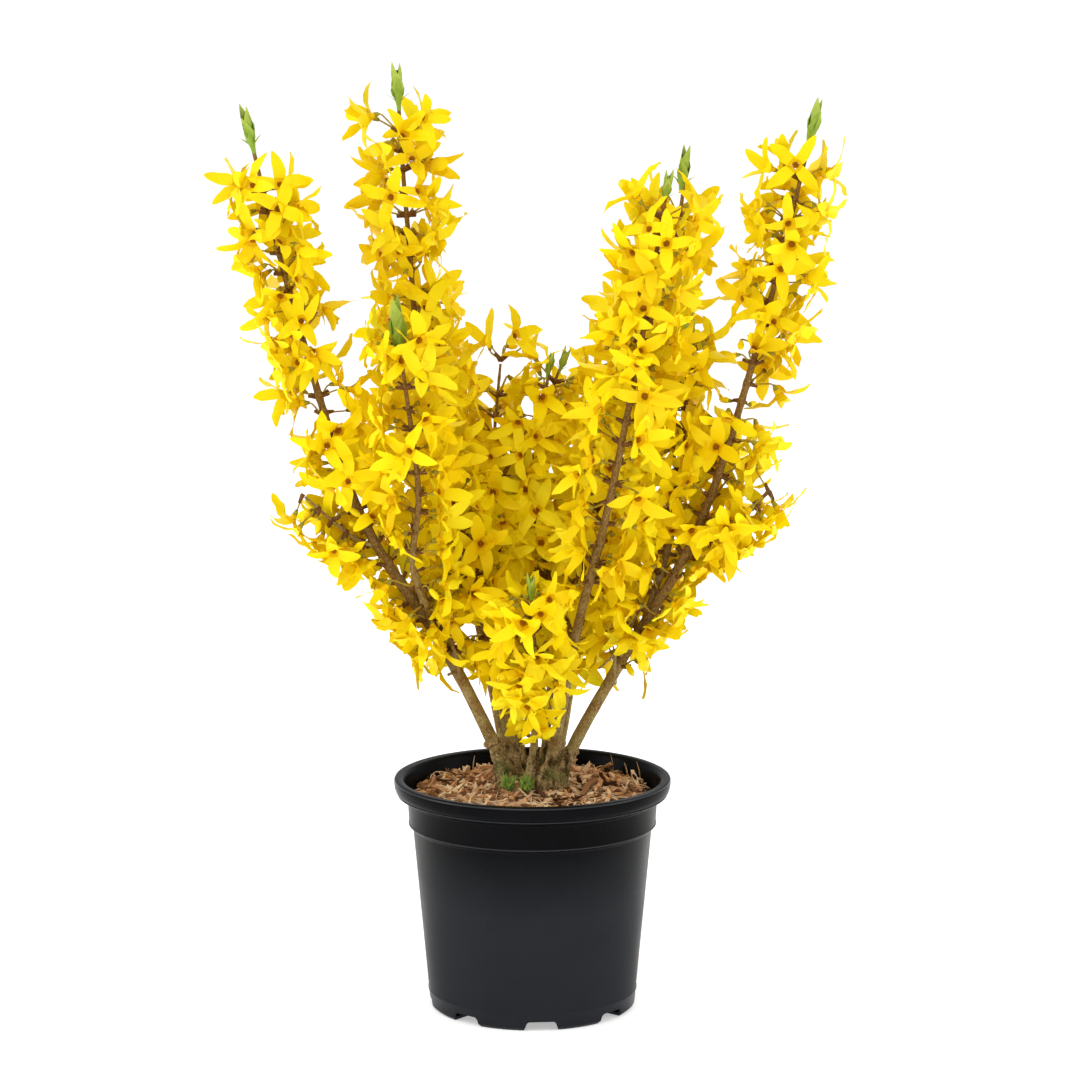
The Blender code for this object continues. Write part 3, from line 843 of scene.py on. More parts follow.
@dataclass
class Pot:
    """The three-litre pot, lathed in fine steps, with rounded edges and drain arches in its foot."""

    facets: int = 144
    lip_radius: float = 95.0 * MM
    height: float = 160.0 * MM
    collar_radius: float = 85.7 * MM
    body_top_radius: float = 82.3 * MM
    foot_radius: float = 70.6 * MM
    collar_foot: float = 127.5 * MM
    wall: float = 1.8 * MM
    floor: float = 2.5 * MM
    foot_ring_share: float = 0.09
    arches: int = 8
    arch_turn: float = math.radians(-85)
    arch_inner: float = 50.0 * MM
    arch_width: float = 26.0 * MM
    arch_top_width: float = 19.0 * MM
    arch_height: float = 6.5 * MM
    arch_rounding: float = 2.0 * MM
    cut_below: float = 4.0 * MM
    bead_rise: float = 0.45 * MM
    # Heights of the grey bands that paint highlights on the edge beads and the lip's top edge
    highlight_bands: tuple[tuple[float, float], ...] = ((0.1276, 0.1292), (0.1486, 0.1499), (0.1585, 0.1597))

    def outside(self) -> list[tuple[float, float]]:
        """Outer profile as radius and height, from the axis under the floor up to the lip.

        Returns:
            The points of the profile.
        """
        foot_ring = self.foot_radius + (self.body_top_radius - self.foot_radius) * self.foot_ring_share
        return [
            (0.0, 0.0),
            (self.foot_radius - 2 * MM, 0.0),
            (self.foot_radius + 0.2 * MM, 2 * MM),
            (foot_ring, 11 * MM),
            (foot_ring + 0.5 * MM, 11.6 * MM),
            (foot_ring + 0.55 * MM, 12.6 * MM),
            (foot_ring + 0.2 * MM, 13.4 * MM),
            (self.body_top_radius - 0.2 * MM, self.collar_foot - 2.5 * MM),
            (self.body_top_radius + 0.3 * MM, self.collar_foot - 1.7 * MM),
            *self.bead(self.collar_radius - 0.9 * MM, self.collar_foot + 1.0 * MM),
            (self.collar_radius, self.height - 15.6 * MM),
            (self.collar_radius + 0.5 * MM, self.height - 14.6 * MM),
            (self.lip_radius - 5.0 * MM, self.height - 12.2 * MM),
            *self.bead(self.lip_radius - 2.6 * MM, self.height - 10.8 * MM),
            (self.lip_radius - 1.3 * MM, self.height - 9.2 * MM),
            (self.lip_radius - 0.4 * MM, self.height - 6.6 * MM),
            (self.lip_radius, self.height - 3.6 * MM),
            (self.lip_radius, self.height - 1.5 * MM),
            (self.lip_radius - 0.5 * MM, self.height - 0.5 * MM),
            (self.lip_radius - 1.5 * MM, self.height),
        ]

    def bead(self, radius: float, z: float) -> list[tuple[float, float]]:
        """Profile of a fine bead on an edge, which catches the light as a thin line."""
        corners = ((0, -1.2), (0.9, -0.6), (1, 0.4), (0, 1.1))
        return [(radius + out * self.bead_rise, z + up * self.bead_rise) for out, up in corners]

    def inside(self) -> list[tuple[float, float]]:
        """Inner profile as radius and height, from the lip down to the axis on the floor.

        Returns:
            The points of the profile.
        """
        return [
            (self.lip_radius - 5.2 * MM, self.height),
            (self.lip_radius - 6.8 * MM, self.height - 1.3 * MM),
            (self.lip_radius - 7.6 * MM, self.height - 3.4 * MM),
            (self.collar_radius - self.wall + 0.6 * MM, self.height - 13.0 * MM),
            (self.collar_radius - self.wall, self.height - 16.0 * MM),
            (self.collar_radius - self.wall - 0.7 * MM, self.collar_foot + 2.5 * MM),
            (self.body_top_radius - self.wall, self.collar_foot - self.wall),
            (self.foot_radius + 0.2 * MM - self.wall, self.floor),
            (0.0, self.floor),
        ]

    def finish_of(self, face: bpy.types.MeshPolygon) -> int:
        """Chooses a face's finish.

        Args:
            face: The face.

        Returns:
            Its material number: 0 for the outside, 1 for the dull inside, 2 for the grey bands of painted
                highlight on the edges.
        """
        z = face.center.z
        if face.normal.xy.dot(face.center.xy) < 0 and face.center.xy.length > self.foot_radius * 0.9:
            return 1
        # Faces in these bands take the grey finish of painted highlight
        return 2 if any(low < z < high for low, high in self.highlight_bands) else 0

    def arch_block(self, k: int) -> bpy.types.Mesh:
        """Makes the block that opens one drain arch.

        Args:
            k: The arch's number round the foot.

        Returns:
            The block.
        """
        bm = bmesh.new()
        depth = self.lip_radius - self.arch_inner
        bmesh.ops.create_cube(bm, size=1.0)
        for vert in bm.verts:
            top = vert.co.z > 0
            vert.co.x = self.arch_inner + (depth if vert.co.x > 0 else 0.0)
            vert.co.y *= self.arch_top_width if top else self.arch_width
            vert.co.z = self.arch_height if top else -self.cut_below
        roof = [edge for edge in bm.edges if all(vert.co.z > 0 for vert in edge.verts)]
        upper = [edge for edge in roof if abs(edge.verts[0].co.y - edge.verts[1].co.y) < MM]
        bmesh.ops.bevel(
            bm, geom=upper, offset=self.arch_rounding, offset_type="OFFSET", affect="EDGES", segments=4,
            profile=0.5, material=-1,
        )
        turn = self.arch_turn + 2 * math.pi * k / self.arches
        bmesh.ops.rotate(bm, verts=bm.verts, cent=(0, 0, 0), matrix=Matrix.Rotation(turn, 3, "Z"))
        bmesh.ops.recalc_face_normals(bm, faces=bm.faces)
        return finished(bm, "arch_block")

    def build(self) -> bpy.types.Object:
        """Lathes the pot, opens its arches and dresses it.

        Returns:
            The piece.
        """
        bm = bmesh.new()
        profile = [bm.verts.new((radius, 0, z)) for radius, z in (*self.outside(), *self.inside())]
        edges = [bm.edges.new(pair) for pair in zip(profile, profile[1:])]
        bmesh.ops.spin(
            bm, geom=profile + edges, cent=(0, 0, 0), axis=(0, 0, 1), angle=2 * math.pi, steps=self.facets,
            use_merge=True,
        )
        bmesh.ops.remove_doubles(bm, verts=bm.verts, dist=0.01 * MM)
        bmesh.ops.recalc_face_normals(bm, faces=bm.faces)
        shell = add_object("shell", finished(bm, "shell"))
        group = bpy.data.collections.new("arch_blocks")
        bpy.context.scene.collection.children.link(group)
        blocks = [bpy.data.objects.new("arch_block", self.arch_block(k)) for k in range(self.arches)]
        for block in blocks:
            group.objects.link(block)
        cut = shell.modifiers.new("arches", "BOOLEAN")
        cut.operation = "DIFFERENCE"
        cut.operand_type = "COLLECTION"
        cut.collection = group
        cut.solver = "EXACT"
        mesh = shaped(shell)
        for block in blocks:
            bpy.data.objects.remove(block)
        bpy.data.collections.remove(group)
        for face in mesh.polygons:
            face.material_index = self.finish_of(face)
        materials = [BLACK_POT.material(), POT_INSIDE.material(), POT_HIGHLIGHT_BANDS.material()]
        return add_piece("nursery_pot", mesh, materials, replaces=["pot"], smooth_below=40)


@dataclass
class Mulch:
    """The top of the medium: a crumbly bed under loose chips, splinters and fibres of bark."""

    wall_radius: float = 83.4 * MM
    stool_radius: float = 24.0 * MM
    heights_mm: tuple[tuple[float, float], ...] = (
        (0.0, 149.0), (32.0, 149.0), (48.5, 147.0), (66.9, 147.0), (84.0, 145.5),
    )
    skirt_foot: float = 144.0 * MM
    bed_cells: int = 120
    bed_trim: float = 0.6 * MM
    bed_rise: float = 0.9 * MM
    relief: float = 1.3 * MM
    relief_width: float = 9.0 * MM
    chips: int = 1750
    chip_length: tuple[float, float] = (6.0 * MM, 24.0 * MM)
    chip_width: tuple[float, float] = (1.2 * MM, 3.9 * MM)
    chip_thickness: tuple[float, float] = (0.7 * MM, 2.2 * MM)
    chip_moulds: int = 10
    shortness: float = 2.2
    widest_share: float = 0.6
    chip_tilt: float = 0.33
    chip_roll: float = 0.35
    heap: float = 3.2 * MM
    heap_fall: float = 0.75
    fall_from: float = 60.0 * MM
    chip_shades: tuple[tuple[float, float], ...] = ((0, 0.25), (0.3, 0.65), (0.65, 1.0))
    fibres: int = 230
    fibre_length: tuple[float, float] = (14.0 * MM, 42.0 * MM)
    fibre_radius: tuple[float, float] = (0.3 * MM, 0.75 * MM)
    fibre_shade: tuple[float, float] = (0.55, 1.0)
    fibre_steps: int = 7
    fibre_bend: float = 1.6
    fibre_rise: float = 3.4 * MM
    fibre_ripple: float = 1.6 * MM
    fibre_zone: float = 74.0 * MM
    edge_fibres: int = 12
    edge_share: float = 0.45
    edge_lean: float = 3.0 * MM
    edge_gap: float = 2.0 * MM
    dice: random.Random = field(default_factory=lambda: random.Random(SEED + 1))

    def height(self, x: float, y: float) -> float:
        """Reads the height of the bed.

        Args:
            x: Place to the right of the pot's axis.
            y: Place behind it.

        Returns:
            The height, with the bed's swells and crumbs.
        """
        r = math.hypot(x, y) / MM
        for (r0, z0), (r1, z1) in zip(self.heights_mm, self.heights_mm[1:]):
            if r <= r1:
                z = z0 + (z1 - z0) * (r - r0) / (r1 - r0)
                break
        else:
            z = self.heights_mm[-1][1]
        swell = noise.noise(Vector((x, y, 0.0)) / self.relief_width)
        crumbs = noise.noise(Vector((x, y, 1.0)) / (self.relief_width / 3))
        return z * MM + self.bed_rise + self.relief * (swell + 0.5 * crumbs)

    def build_bed(self) -> bpy.types.Object:
        """Makes the crumbly surface, with a skirt down to below the medium's edge.

        Returns:
            The piece.
        """
        bm = bmesh.new()
        bmesh.ops.create_grid(bm, x_segments=self.bed_cells, y_segments=self.bed_cells, size=self.wall_radius)
        outside = [f for f in bm.faces if f.calc_center_median().length > self.wall_radius - self.bed_trim]
        bmesh.ops.delete(bm, geom=outside, context="FACES")
        for vert in bm.verts:
            if vert.is_boundary:
                vert.co = vert.co.normalized() * self.wall_radius
            vert.co.z = self.height(vert.co.x, vert.co.y)
        rim = [edge for edge in bm.edges if edge.is_boundary]
        skirt = bmesh.ops.extrude_edge_only(bm, edges=rim)["geom"]
        for vert in skirt:
            if isinstance(vert, bmesh.types.BMVert):
                vert.co.z = self.skirt_foot
        return add_piece("mulch_bed", finished(bm, "mulch_bed"), [MIX_WITH_GAP_SHADE.material()])

    def chip_mould(self) -> bpy.types.Mesh:
        """Makes a splinter of unit length, width and thickness, tapered and torn at random.

        Returns:
            The splinter.
        """
        dice = self.dice
        bm = bmesh.new()
        bmesh.ops.create_cube(bm, size=1.0)
        lengthwise = [edge for edge in bm.edges if abs((edge.verts[0].co - edge.verts[1].co).x) > 0.5]
        bmesh.ops.subdivide_edges(bm, edges=lengthwise, cuts=2)
        ends = [dice.uniform(0.08, 0.6), dice.uniform(0.15, 0.9)]
        arch = dice.uniform(-0.6, 0.9)
        for vert in bm.verts:
            narrow = ends[0] if vert.co.x < -0.4 else ends[1] if vert.co.x > 0.4 else 1.0
            vert.co.y = vert.co.y * narrow + dice.uniform(-0.16, 0.16)
            vert.co.z += arch * (0.25 - vert.co.x**2) + dice.uniform(-0.2, 0.2)
            vert.co.x += dice.uniform(-0.07, 0.07)
        bmesh.ops.recalc_face_normals(bm, faces=bm.faces)
        return finished(bm, "chip_mould")

    def build_chips(self) -> bpy.types.Object:
        """Scatters the chips over the bed, each higher in the heap than the one before.

        Returns:
            The piece.
        """
        dice = self.dice
        moulds = [self.chip_mould() for _ in range(self.chip_moulds)]
        shortest, longest = self.chip_length
        bm = bmesh.new()
        tones: list[float] = []
        for k in range(self.chips):
            length = shortest + (longest - shortest) * dice.random() ** self.shortness
            width = min(dice.uniform(*self.chip_width), self.widest_share * length)
            thick = dice.uniform(*self.chip_thickness)
            r = math.sqrt(dice.uniform(self.stool_radius**2, self.wall_radius**2))
            a = dice.uniform(0, 2 * math.pi)
            yaw = dice.uniform(0, 2 * math.pi)
            x, y = r * math.cos(a), r * math.sin(a)
            half_x, half_y = length / 2 * math.cos(yaw), length / 2 * math.sin(yaw)
            ends = (math.hypot(x - half_x, y - half_y), math.hypot(x + half_x, y + half_y))
            if max(ends) > self.wall_radius - width / 2 or min(ends) < self.stool_radius:
                continue
            tilt = dice.gauss(0, self.chip_tilt)
            near_wall = max(0.0, (r - self.fall_from) / (self.wall_radius - self.fall_from))
            heap = self.heap * (k / self.chips) * (1 - self.heap_fall * near_wall)
            lift = thick / 3 + abs(math.sin(tilt)) * length / 5 + heap
            place = (
                Matrix.Translation((x, y, self.height(x, y) + lift))
                @ Matrix.Rotation(yaw, 4, "Z")
                @ Matrix.Rotation(tilt, 4, "Y")
                @ Matrix.Rotation(dice.gauss(0, self.chip_roll), 4, "X")
                @ Matrix.Diagonal((length, width, thick, 1.0))
            )
            mould = dice.choice(moulds)
            add_copy(bm, mould, place)
            tone = dice.choice([dice.uniform(*shades) for shades in self.chip_shades])
            tones += [tone] * len(mould.vertices)
        mesh = finished(bm, "bark_chips")
        set_attribute(mesh, "chip_tone", tones)
        for mould in moulds:
            bpy.data.meshes.remove(mould)
        return add_piece("bark_chips", mesh, [BARK_CHIPS.material()], smooth_below=35)

    def fibre(self, k: int) -> list[list[Vector]]:
        """Shapes a thin curved fibre. It lies on the chips, but the last few stand against the wall.

        Args:
            k: The fibre's number.

        Returns:
            The rings of its tube. They end where it comes to the wall or to the stool.
        """
        dice = self.dice
        at_edge = k >= self.fibres
        length = dice.uniform(*self.fibre_length) * (self.edge_share if at_edge else 1.0)
        radius = dice.uniform(*self.fibre_radius)
        inside_wall = self.wall_radius - self.edge_gap
        r = inside_wall if at_edge else math.sqrt(dice.uniform(self.stool_radius**2, self.fibre_zone**2))
        a = dice.uniform(0, 2 * math.pi)
        heading = dice.uniform(0, 2 * math.pi)
        bend = dice.gauss(0, self.fibre_bend)
        point = Vector((r * math.cos(a), r * math.sin(a), 0.0))
        rings: list[list[Vector]] = []
        for step in range(self.fibre_steps + 1):
            share = step / self.fibre_steps
            if at_edge:
                along = UP
                rise = self.height(point.x, point.y) + share * length
                centre = Vector((point.x, point.y, rise)) - point.normalized() * share**2 * self.edge_lean
            else:
                turn = heading + bend * (share - 0.5)
                along = Vector((math.cos(turn), math.sin(turn), 0.0))
                point = point + along * length / self.fibre_steps
                if point.xy.length > inside_wall or point.xy.length < self.stool_radius:
                    break
                ripple = self.fibre_ripple * math.sin(math.pi * share) * (1 + math.sin(5 * share + k))
                centre = Vector((point.x, point.y, self.height(point.x, point.y) + self.fibre_rise + ripple))
            side = along.cross(Vector((1, 0, 0)) if at_edge else UP).normalized()
            thin = radius * (1.0 - 0.6 * abs(2 * share - 1))
            rings.append(ring_about(centre, side, along.cross(side).normalized(), thin, 3))
        return rings

    def build_fibres(self) -> bpy.types.Object:
        """Lays the fibres on the chips and against the wall, and leaves out the stubs.

        Returns:
            The piece.
        """
        bm = bmesh.new()
        tones: list[float] = []
        for k in range(self.fibres + self.edge_fibres):
            rings = self.fibre(k)
            if len(rings) > 3:
                tones += [self.dice.uniform(*self.fibre_shade)] * add_tube(bm, rings)
        bmesh.ops.recalc_face_normals(bm, faces=bm.faces)
        mesh = finished(bm, "bark_fibres")
        set_attribute(mesh, "chip_tone", tones)
        return add_piece("bark_fibres", mesh, [BARK_CHIPS.material()])

    def build(self) -> None:
        """Makes the bed, the chips and the fibres, and dresses the solid of the medium under them."""
        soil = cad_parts["soil"]
        soil.data.materials.clear()
        soil.data.materials.append(MIX_WITH_GAP_SHADE.material())
        self.build_bed()
        self.build_chips()
        self.build_fibres()


@dataclass
class Wood:
    """The canes and twigs with their bark's relief, and the knotted stool that they spring from."""

    limbs: Sequence[Limb]
    ring_step: float = 2.4 * MM
    sides: int = 14
    twig_sides: int = 8
    twig_below: float = 2.5 * MM
    bare_tip: float = 6.0 * MM
    girth: float = 0.93
    node_swell: float = 0.25
    node_reach: float = 3.5 * MM
    relief: float = 0.05
    ridges_in_metre: tuple[float, float] = (320, 55)
    ridge_shift: float = 900.0
    ridge_height: float = 1.6
    knobs_in_metre: float = 110.0
    knob_height: float = 1.2
    young_from: float = 120.0 * MM
    stool_foot: float = 149.3 * MM
    stool_voxel: float = 1.1 * MM
    stool_relief: float = 1.7 * MM
    pebble_width: float = 5.5 * MM
    relief_fades: tuple[float, float] = (186.0 * MM, 14.0 * MM)
    foot_length: float = 33.0 * MM
    foot_shares: tuple[float, ...] = (0.0, 0.2, 0.45, 0.7, 1.0)
    foot_sunk: float = 3.0 * MM
    flare: tuple[float, float, float] = (1.03, 0.85, 1.4)
    knobs_mm: tuple[tuple[float, ...], ...] = (
        (13, 10, -4, -2, 152), (12, 10, 8, 4, 153), (10, 8, 0, 10, 155), (9, 8, -10, -18, 151),
        (9.5, 17, 8, -16, 155), (7, 12, 17, -10, 155), (7.5, 9, -20, -8, 152), (8, 7, 21, 4, 151),
        (9, 8, -10, 15, 151), (8, 8, 15, 15, 151), (6, 7, -23, 5, 151), (6, 12, -4, -21, 150),
        (5, 5, 14, -24, 149), (5.5, 12, -16, -18, 150), (7.2, 3.2, -27.5, -2, 184), (6.6, 3.0, 26, -2, 177),
        (7, 15, -19, -3, 161), (6.5, 13, 18, -3, 159),
    )

    def cane(self, bm: bmesh.types.BMesh, limb: Limb) -> tuple[list[Vector], list[float]]:
        """Extrudes one limb, with swollen nodes and ridged bark.

        Args:
            bm: Where the limb goes.
            limb: The limb.

        Returns:
            For each vertex in turn, its place on the limb made straight, and the bark's age.
        """
        start = 0.0 if limb.bloom_height == 0 else limb.route.length_at_height(self.stool_foot)
        end = limb.route.length - self.bare_tip
        count = math.ceil((end - start) / self.ring_step)
        sides = self.sides if limb.foot_radius > self.twig_below else self.twig_sides
        round_scale, long_scale = self.ridges_in_metre
        rings, places, ages = [], [], []
        for k in range(count + 1):
            distance = start + (end - start) * k / count
            point, _, side, across = limb.frame(distance)
            plain = limb.radius(distance) * self.girth
            nearest = min((abs(distance - node) for node in limb.nodes), default=1.0)
            swell = 1 + self.node_swell * max(0.0, 1 - nearest / self.node_reach)
            shift = Vector((0, 0, plain * self.ridge_shift))
            ring = []
            for turn in (2 * math.pi * n / sides for n in range(sides)):
                out = math.cos(turn) * side + math.sin(turn) * across
                straight = Vector((plain * math.cos(turn), plain * math.sin(turn), distance))
                spot = Vector((straight.x * round_scale, straight.y * round_scale, distance * long_scale))
                ridge = self.ridge_height * noise.noise(spot + shift)
                knob = self.knob_height * noise.noise(straight * self.knobs_in_metre)
                ring.append(point + out * plain * swell * (1 + self.relief * (ridge + knob)))
                places.append(straight + Vector((0.0, 0.0, limb.foot_radius * 50)))
                ages.append(clamp(1.0 - distance / (limb.bloom_start + self.young_from)))
            rings.append(ring)
        add_tube(bm, rings)
        return places, ages

    def build_canes(self) -> bpy.types.Object:
        """Makes all limbs as one piece.

        Returns:
            The piece.
        """
        bm = bmesh.new()
        places: list[Vector] = []
        ages: list[float] = []
        for limb in self.limbs:
            more_places, more_ages = self.cane(bm, limb)
            places += more_places
            ages += more_ages
        bmesh.ops.recalc_face_normals(bm, faces=bm.faces)
        mesh = finished(bm, "canes")
        set_attribute(mesh, "bark_place", [value for place in places for value in place], "FLOAT_VECTOR")
        set_attribute(mesh, "bark_age", ages)
        boughs = ["bough_" + limb.name for limb in self.limbs if limb.bloom_height]
        return add_piece("canes", mesh, [CANE_BARK.material()], replaces=boughs)

    def stool_lump(self) -> bpy.types.Mesh:
        """Fuses the canes' flared feet and the knobs of old wood between them.

        Returns:
            The stool without its bark.
        """
        dice = random.Random(SEED + 2)
        bm = bmesh.new()
        least, more, fall = self.flare
        for limb in self.limbs:
            if limb.bloom_height == 0:
                continue
            rings = []
            start = limb.route.length_at_height(self.stool_foot)
            for share in self.foot_shares:
                distance = start + share * self.foot_length
                point, _, side, across = limb.frame(distance)
                flare = least + more * (1 - share) ** fall
                rings.append(ring_about(point, side, across, flare * limb.radius(distance), 10))
            rings.insert(0, [p - UP * self.foot_sunk for p in rings[0]])
            add_tube(bm, rings)
        for radius, height, x, y, z in self.knobs_mm:
            place = Matrix.Translation(Vector((x, y, z)) * MM) @ Matrix.Rotation(dice.gauss(0, 0.2), 4, "Y")
            stretch = Matrix.Diagonal((1, dice.uniform(0.85, 1.1), height / radius, 1))
            bmesh.ops.create_icosphere(bm, subdivisions=2, radius=radius * MM, matrix=place @ stretch)
        bmesh.ops.recalc_face_normals(bm, faces=bm.faces)
        lump = add_object("lump", finished(bm, "lump"))
        remesh = lump.modifiers.new("fuse", "REMESH")
        remesh.mode = "VOXEL"
        remesh.voxel_size = self.stool_voxel
        smooth = lump.modifiers.new("soften", "SMOOTH")
        smooth.iterations = 4
        return shaped(lump)

    def build_stool(self) -> bpy.types.Object:
        """Roughens the stool with pebbled, furrowed bark and cuts it flat inside the medium.

        Returns:
            The piece.
        """
        mesh = self.stool_lump()
        bm = bmesh.new()
        bm.from_mesh(mesh)
        bpy.data.meshes.remove(mesh)
        smooth_above, fade_length = self.relief_fades
        for vert in bm.verts:
            p = vert.co
            upright = Vector((p.x, p.y, 0.35 * p.z))
            pebble = 0.45 - noise.voronoi(p / self.pebble_width)[0][0]
            bump = 0.9 * pebble + 0.5 * noise.noise(upright * 330) + 0.35 * noise.noise(p * 700)
            fade = clamp((smooth_above - p.z) / fade_length, 0.25, 1.0)
            vert.co = p + vert.normal * self.stool_relief * bump * fade
        below = bmesh.ops.bisect_plane(
            bm, geom=[*bm.verts, *bm.edges, *bm.faces], plane_co=(0, 0, self.stool_foot), plane_no=(0, 0, 1),
            clear_inner=True,
        )
        rim = [edge for edge in below["geom_cut"] if isinstance(edge, bmesh.types.BMEdge)]
        bmesh.ops.holes_fill(bm, edges=rim)
        return add_piece("stool", finished(bm, "stool"), [STOOL_BARK.material()], replaces=["crown"])

    def build(self) -> bpy.types.Object:
        """Makes the canes and the stool.

        Returns:
            The canes.
        """
        canes = self.build_canes()
        self.build_stool()
        return canes


class Stage(Enum):
    """How far a flower is open: angle of its petals from its axis, in degrees, at the foot and at the tip."""

    OPEN = ((40, 64), (76, 134))
    CUP = ((28, 46), (52, 104))
    BELL = ((16, 34), (30, 74))


@dataclass
class FlowerMould:
    """One flower with its throat at the origin, facing +Z: four pointed petals on a short tube."""

    stage: Stage
    dice: random.Random
    petals: int = 4
    petal_jitter: float = 0.09
    length: float = 23.5 * MM
    lengths: tuple[float, float] = (0.88, 1.08)
    width: float = 9.2 * MM
    widths: tuple[float, float] = (0.88, 1.1)
    curl: float = 0.8
    twist: float = 20.0
    sway: float = 0.17
    channels: tuple[float, float] = (0.05, 0.5)
    edge_wave: float = 0.55 * MM
    edge_widths: tuple[float, float] = (0.9, 1.08)
    rim_radius: float = 2.3 * MM
    tube_length: float = 5.6 * MM
    tube_radius: float = 1.3 * MM
    tube_flare: float = 0.4 * MM
    throat_depth: float = 2.6 * MM
    throat_rise: float = 0.5 * MM
    throat_foot: float = 0.35
    stamens_width: float = 0.55
    stamens_depth: float = 0.45
    sepal_length: float = 2.6 * MM
    sepal_radius: float = 2.1 * MM
    sepal_below: float = 0.8 * MM
    outline: tuple[tuple[float, float], ...] = (
        (0.0, 0.66), (0.14, 0.88), (0.33, 1.0), (0.55, 0.97), (0.76, 0.78), (0.92, 0.43), (1.0, 0.08),
    )
    heart_end: float = 0.1
    bend_steps: int = 24

    def add_petal(self, bm: bmesh.types.BMesh, turn: float) -> None:
        """Shapes one petal from a grid: spread, curled back, twisted and channelled, each a little otherwise.

        Args:
            bm: Where the petal goes.
            turn: Its place round the throat.
        """
        dice = self.dice
        length = self.length * dice.uniform(*self.lengths)
        half = self.width / 2 * dice.uniform(*self.widths)
        foot_angle, tip_angle = (math.radians(dice.uniform(*limits)) for limits in self.stage.value)
        twist = math.radians(dice.gauss(0, self.twist))
        sway = dice.gauss(0, self.sway) * length
        channel = dice.uniform(*self.channels)
        out = Vector((math.cos(turn), math.sin(turn), 0.0))
        sideways = UP.cross(out)
        line = [(out * self.rim_radius, foot_angle)]
        for k in range(1, self.bend_steps + 1):
            share = k / self.bend_steps
            angle = foot_angle + (tip_angle - foot_angle) * share**self.curl
            step = length / self.bend_steps * (math.sin(angle) * out + math.cos(angle) * UP)
            line.append((line[-1][0] + step, angle))
        rows = len(self.outline) - 1
        grid = bmesh.ops.create_grid(bm, x_segments=2, y_segments=rows, size=1.0)["verts"]
        faces = {face for vert in grid for face in vert.link_faces}
        for vert in grid:
            across = vert.co.x
            share, wide = self.outline[round((vert.co.y + 1) / 2 * rows)]
            point, angle = line[round(share * self.bend_steps)]
            along = math.sin(angle) * out + math.cos(angle) * UP
            side = Matrix.Rotation(twist * share, 3, along) @ sideways
            front = side.cross(along)
            if front.z < 0 and angle < math.pi / 2:
                front = -front
            edge = across * half * wide * dice.uniform(*self.edge_widths)
            wave = dice.gauss(0, self.edge_wave) * abs(across)
            vert.co = point + sideways * sway * share**2 + side * edge + front * (channel * abs(edge) + wave)
        for face in faces:
            near = min((vert.co - out * self.rim_radius).length for vert in face.verts)
            is_heart = near < self.heart_end * length
            face.material_index = FlowerPart.HEART.value if is_heart else FlowerPart.PETAL.value

    def add_cone(
        self, bm: bmesh.types.BMesh, top: float, foot: float, z_top: float, z_foot: float, part: FlowerPart
    ) -> None:
        """Adds an open cone about the axis.

        Args:
            bm: Where the cone goes.
            top: Radius at its upper end.
            foot: Radius at its lower end.
            z_top: Height of its upper end.
            z_foot: Height of its lower end.
            part: The part of the flower that it is.
        """
        middle = Matrix.Translation((0, 0, (z_top + z_foot) / 2))
        cone = bmesh.ops.create_cone(
            bm, cap_ends=False, segments=6, radius1=foot, radius2=top, depth=z_top - z_foot, matrix=middle,
        )["verts"]
        for face in {face for vert in cone for face in vert.link_faces}:
            face.material_index = part.value

    def build(self) -> bpy.types.Mesh:
        """Makes the flower.

        Returns:
            Its mesh, with FlowerPart material numbers.
        """
        bm = bmesh.new()
        rim, foot = self.rim_radius, -self.tube_length
        twist = self.dice.uniform(0, math.pi / 2)
        for k in range(self.petals):
            self.add_petal(bm, twist + 2 * math.pi * k / self.petals + self.dice.gauss(0, self.petal_jitter))
        self.add_cone(bm, rim + self.tube_flare, self.tube_radius, 0.0, foot, FlowerPart.HEART)
        self.add_cone(
            bm, rim, rim * self.throat_foot, self.throat_rise, -self.throat_depth, FlowerPart.THROAT
        )
        stamens = bmesh.ops.create_circle(
            bm, cap_ends=True, segments=6, radius=rim * self.stamens_width,
            matrix=Matrix.Translation((0, 0, -self.throat_depth * self.stamens_depth)),
        )["verts"]
        for face in {face for vert in stamens for face in vert.link_faces}:
            face.material_index = FlowerPart.PISTIL.value
        self.add_cone(
            bm, self.sepal_radius, self.tube_radius, foot + self.sepal_length, foot - self.sepal_below,
            FlowerPart.SEPAL,
        )
        return finished(bm, "flower_mould")


@dataclass
class BudMould:
    """A closed flower bud: four furled petals in their sepals."""

    length: float = 13.0 * MM
    radius: float = 2.5 * MM
    foot: float = -6.0 * MM
    sepal_top: float = -4.2 * MM
    furl: float = 1.2
    outline: tuple[tuple[float, float], ...] = (
        (0.0, 0.42), (0.2, 0.62), (0.5, 1.0), (0.78, 0.86), (1.0, 0.16),
    )

    def build(self) -> bpy.types.Mesh:
        """Makes the bud.

        Returns:
            Its mesh, with FlowerPart material numbers.
        """
        bm = bmesh.new()
        rings = []
        for share, wide in self.outline:
            centre = Vector((0, 0, self.foot + share * self.length))
            turn = self.furl * share
            side = Vector((math.cos(turn), math.sin(turn), 0))
            rings.append(ring_about(centre, side, UP.cross(side), wide * self.radius, 8))
        add_tube(bm, rings)
        for face in bm.faces:
            low = face.calc_center_median().z < self.sepal_top
            face.material_index = FlowerPart.SEPAL.value if low else FlowerPart.PETAL.value
        bmesh.ops.recalc_face_normals(bm, faces=bm.faces)
        return finished(bm, "bud_mould")


def seen_at(point: Vector) -> tuple[float, float]:
    """Tells where a point shows from the front.

    Args:
        point: The point.

    Returns:
        Its side and height, in mm, on the upright plane through the pot's axis.
    """
    eye = Vector(CAMERA_PLACE)
    spot = eye + (point - eye) * (-eye.y / (point.y - eye.y))
    return spot.x / MM, spot.z / MM


@dataclass
class PlacedFlower:
    """A flower in its place on the shrub."""

    mass: str
    mould: bpy.types.Mesh
    place: Matrix
    root: Vector
    leave: Vector
    tone: int


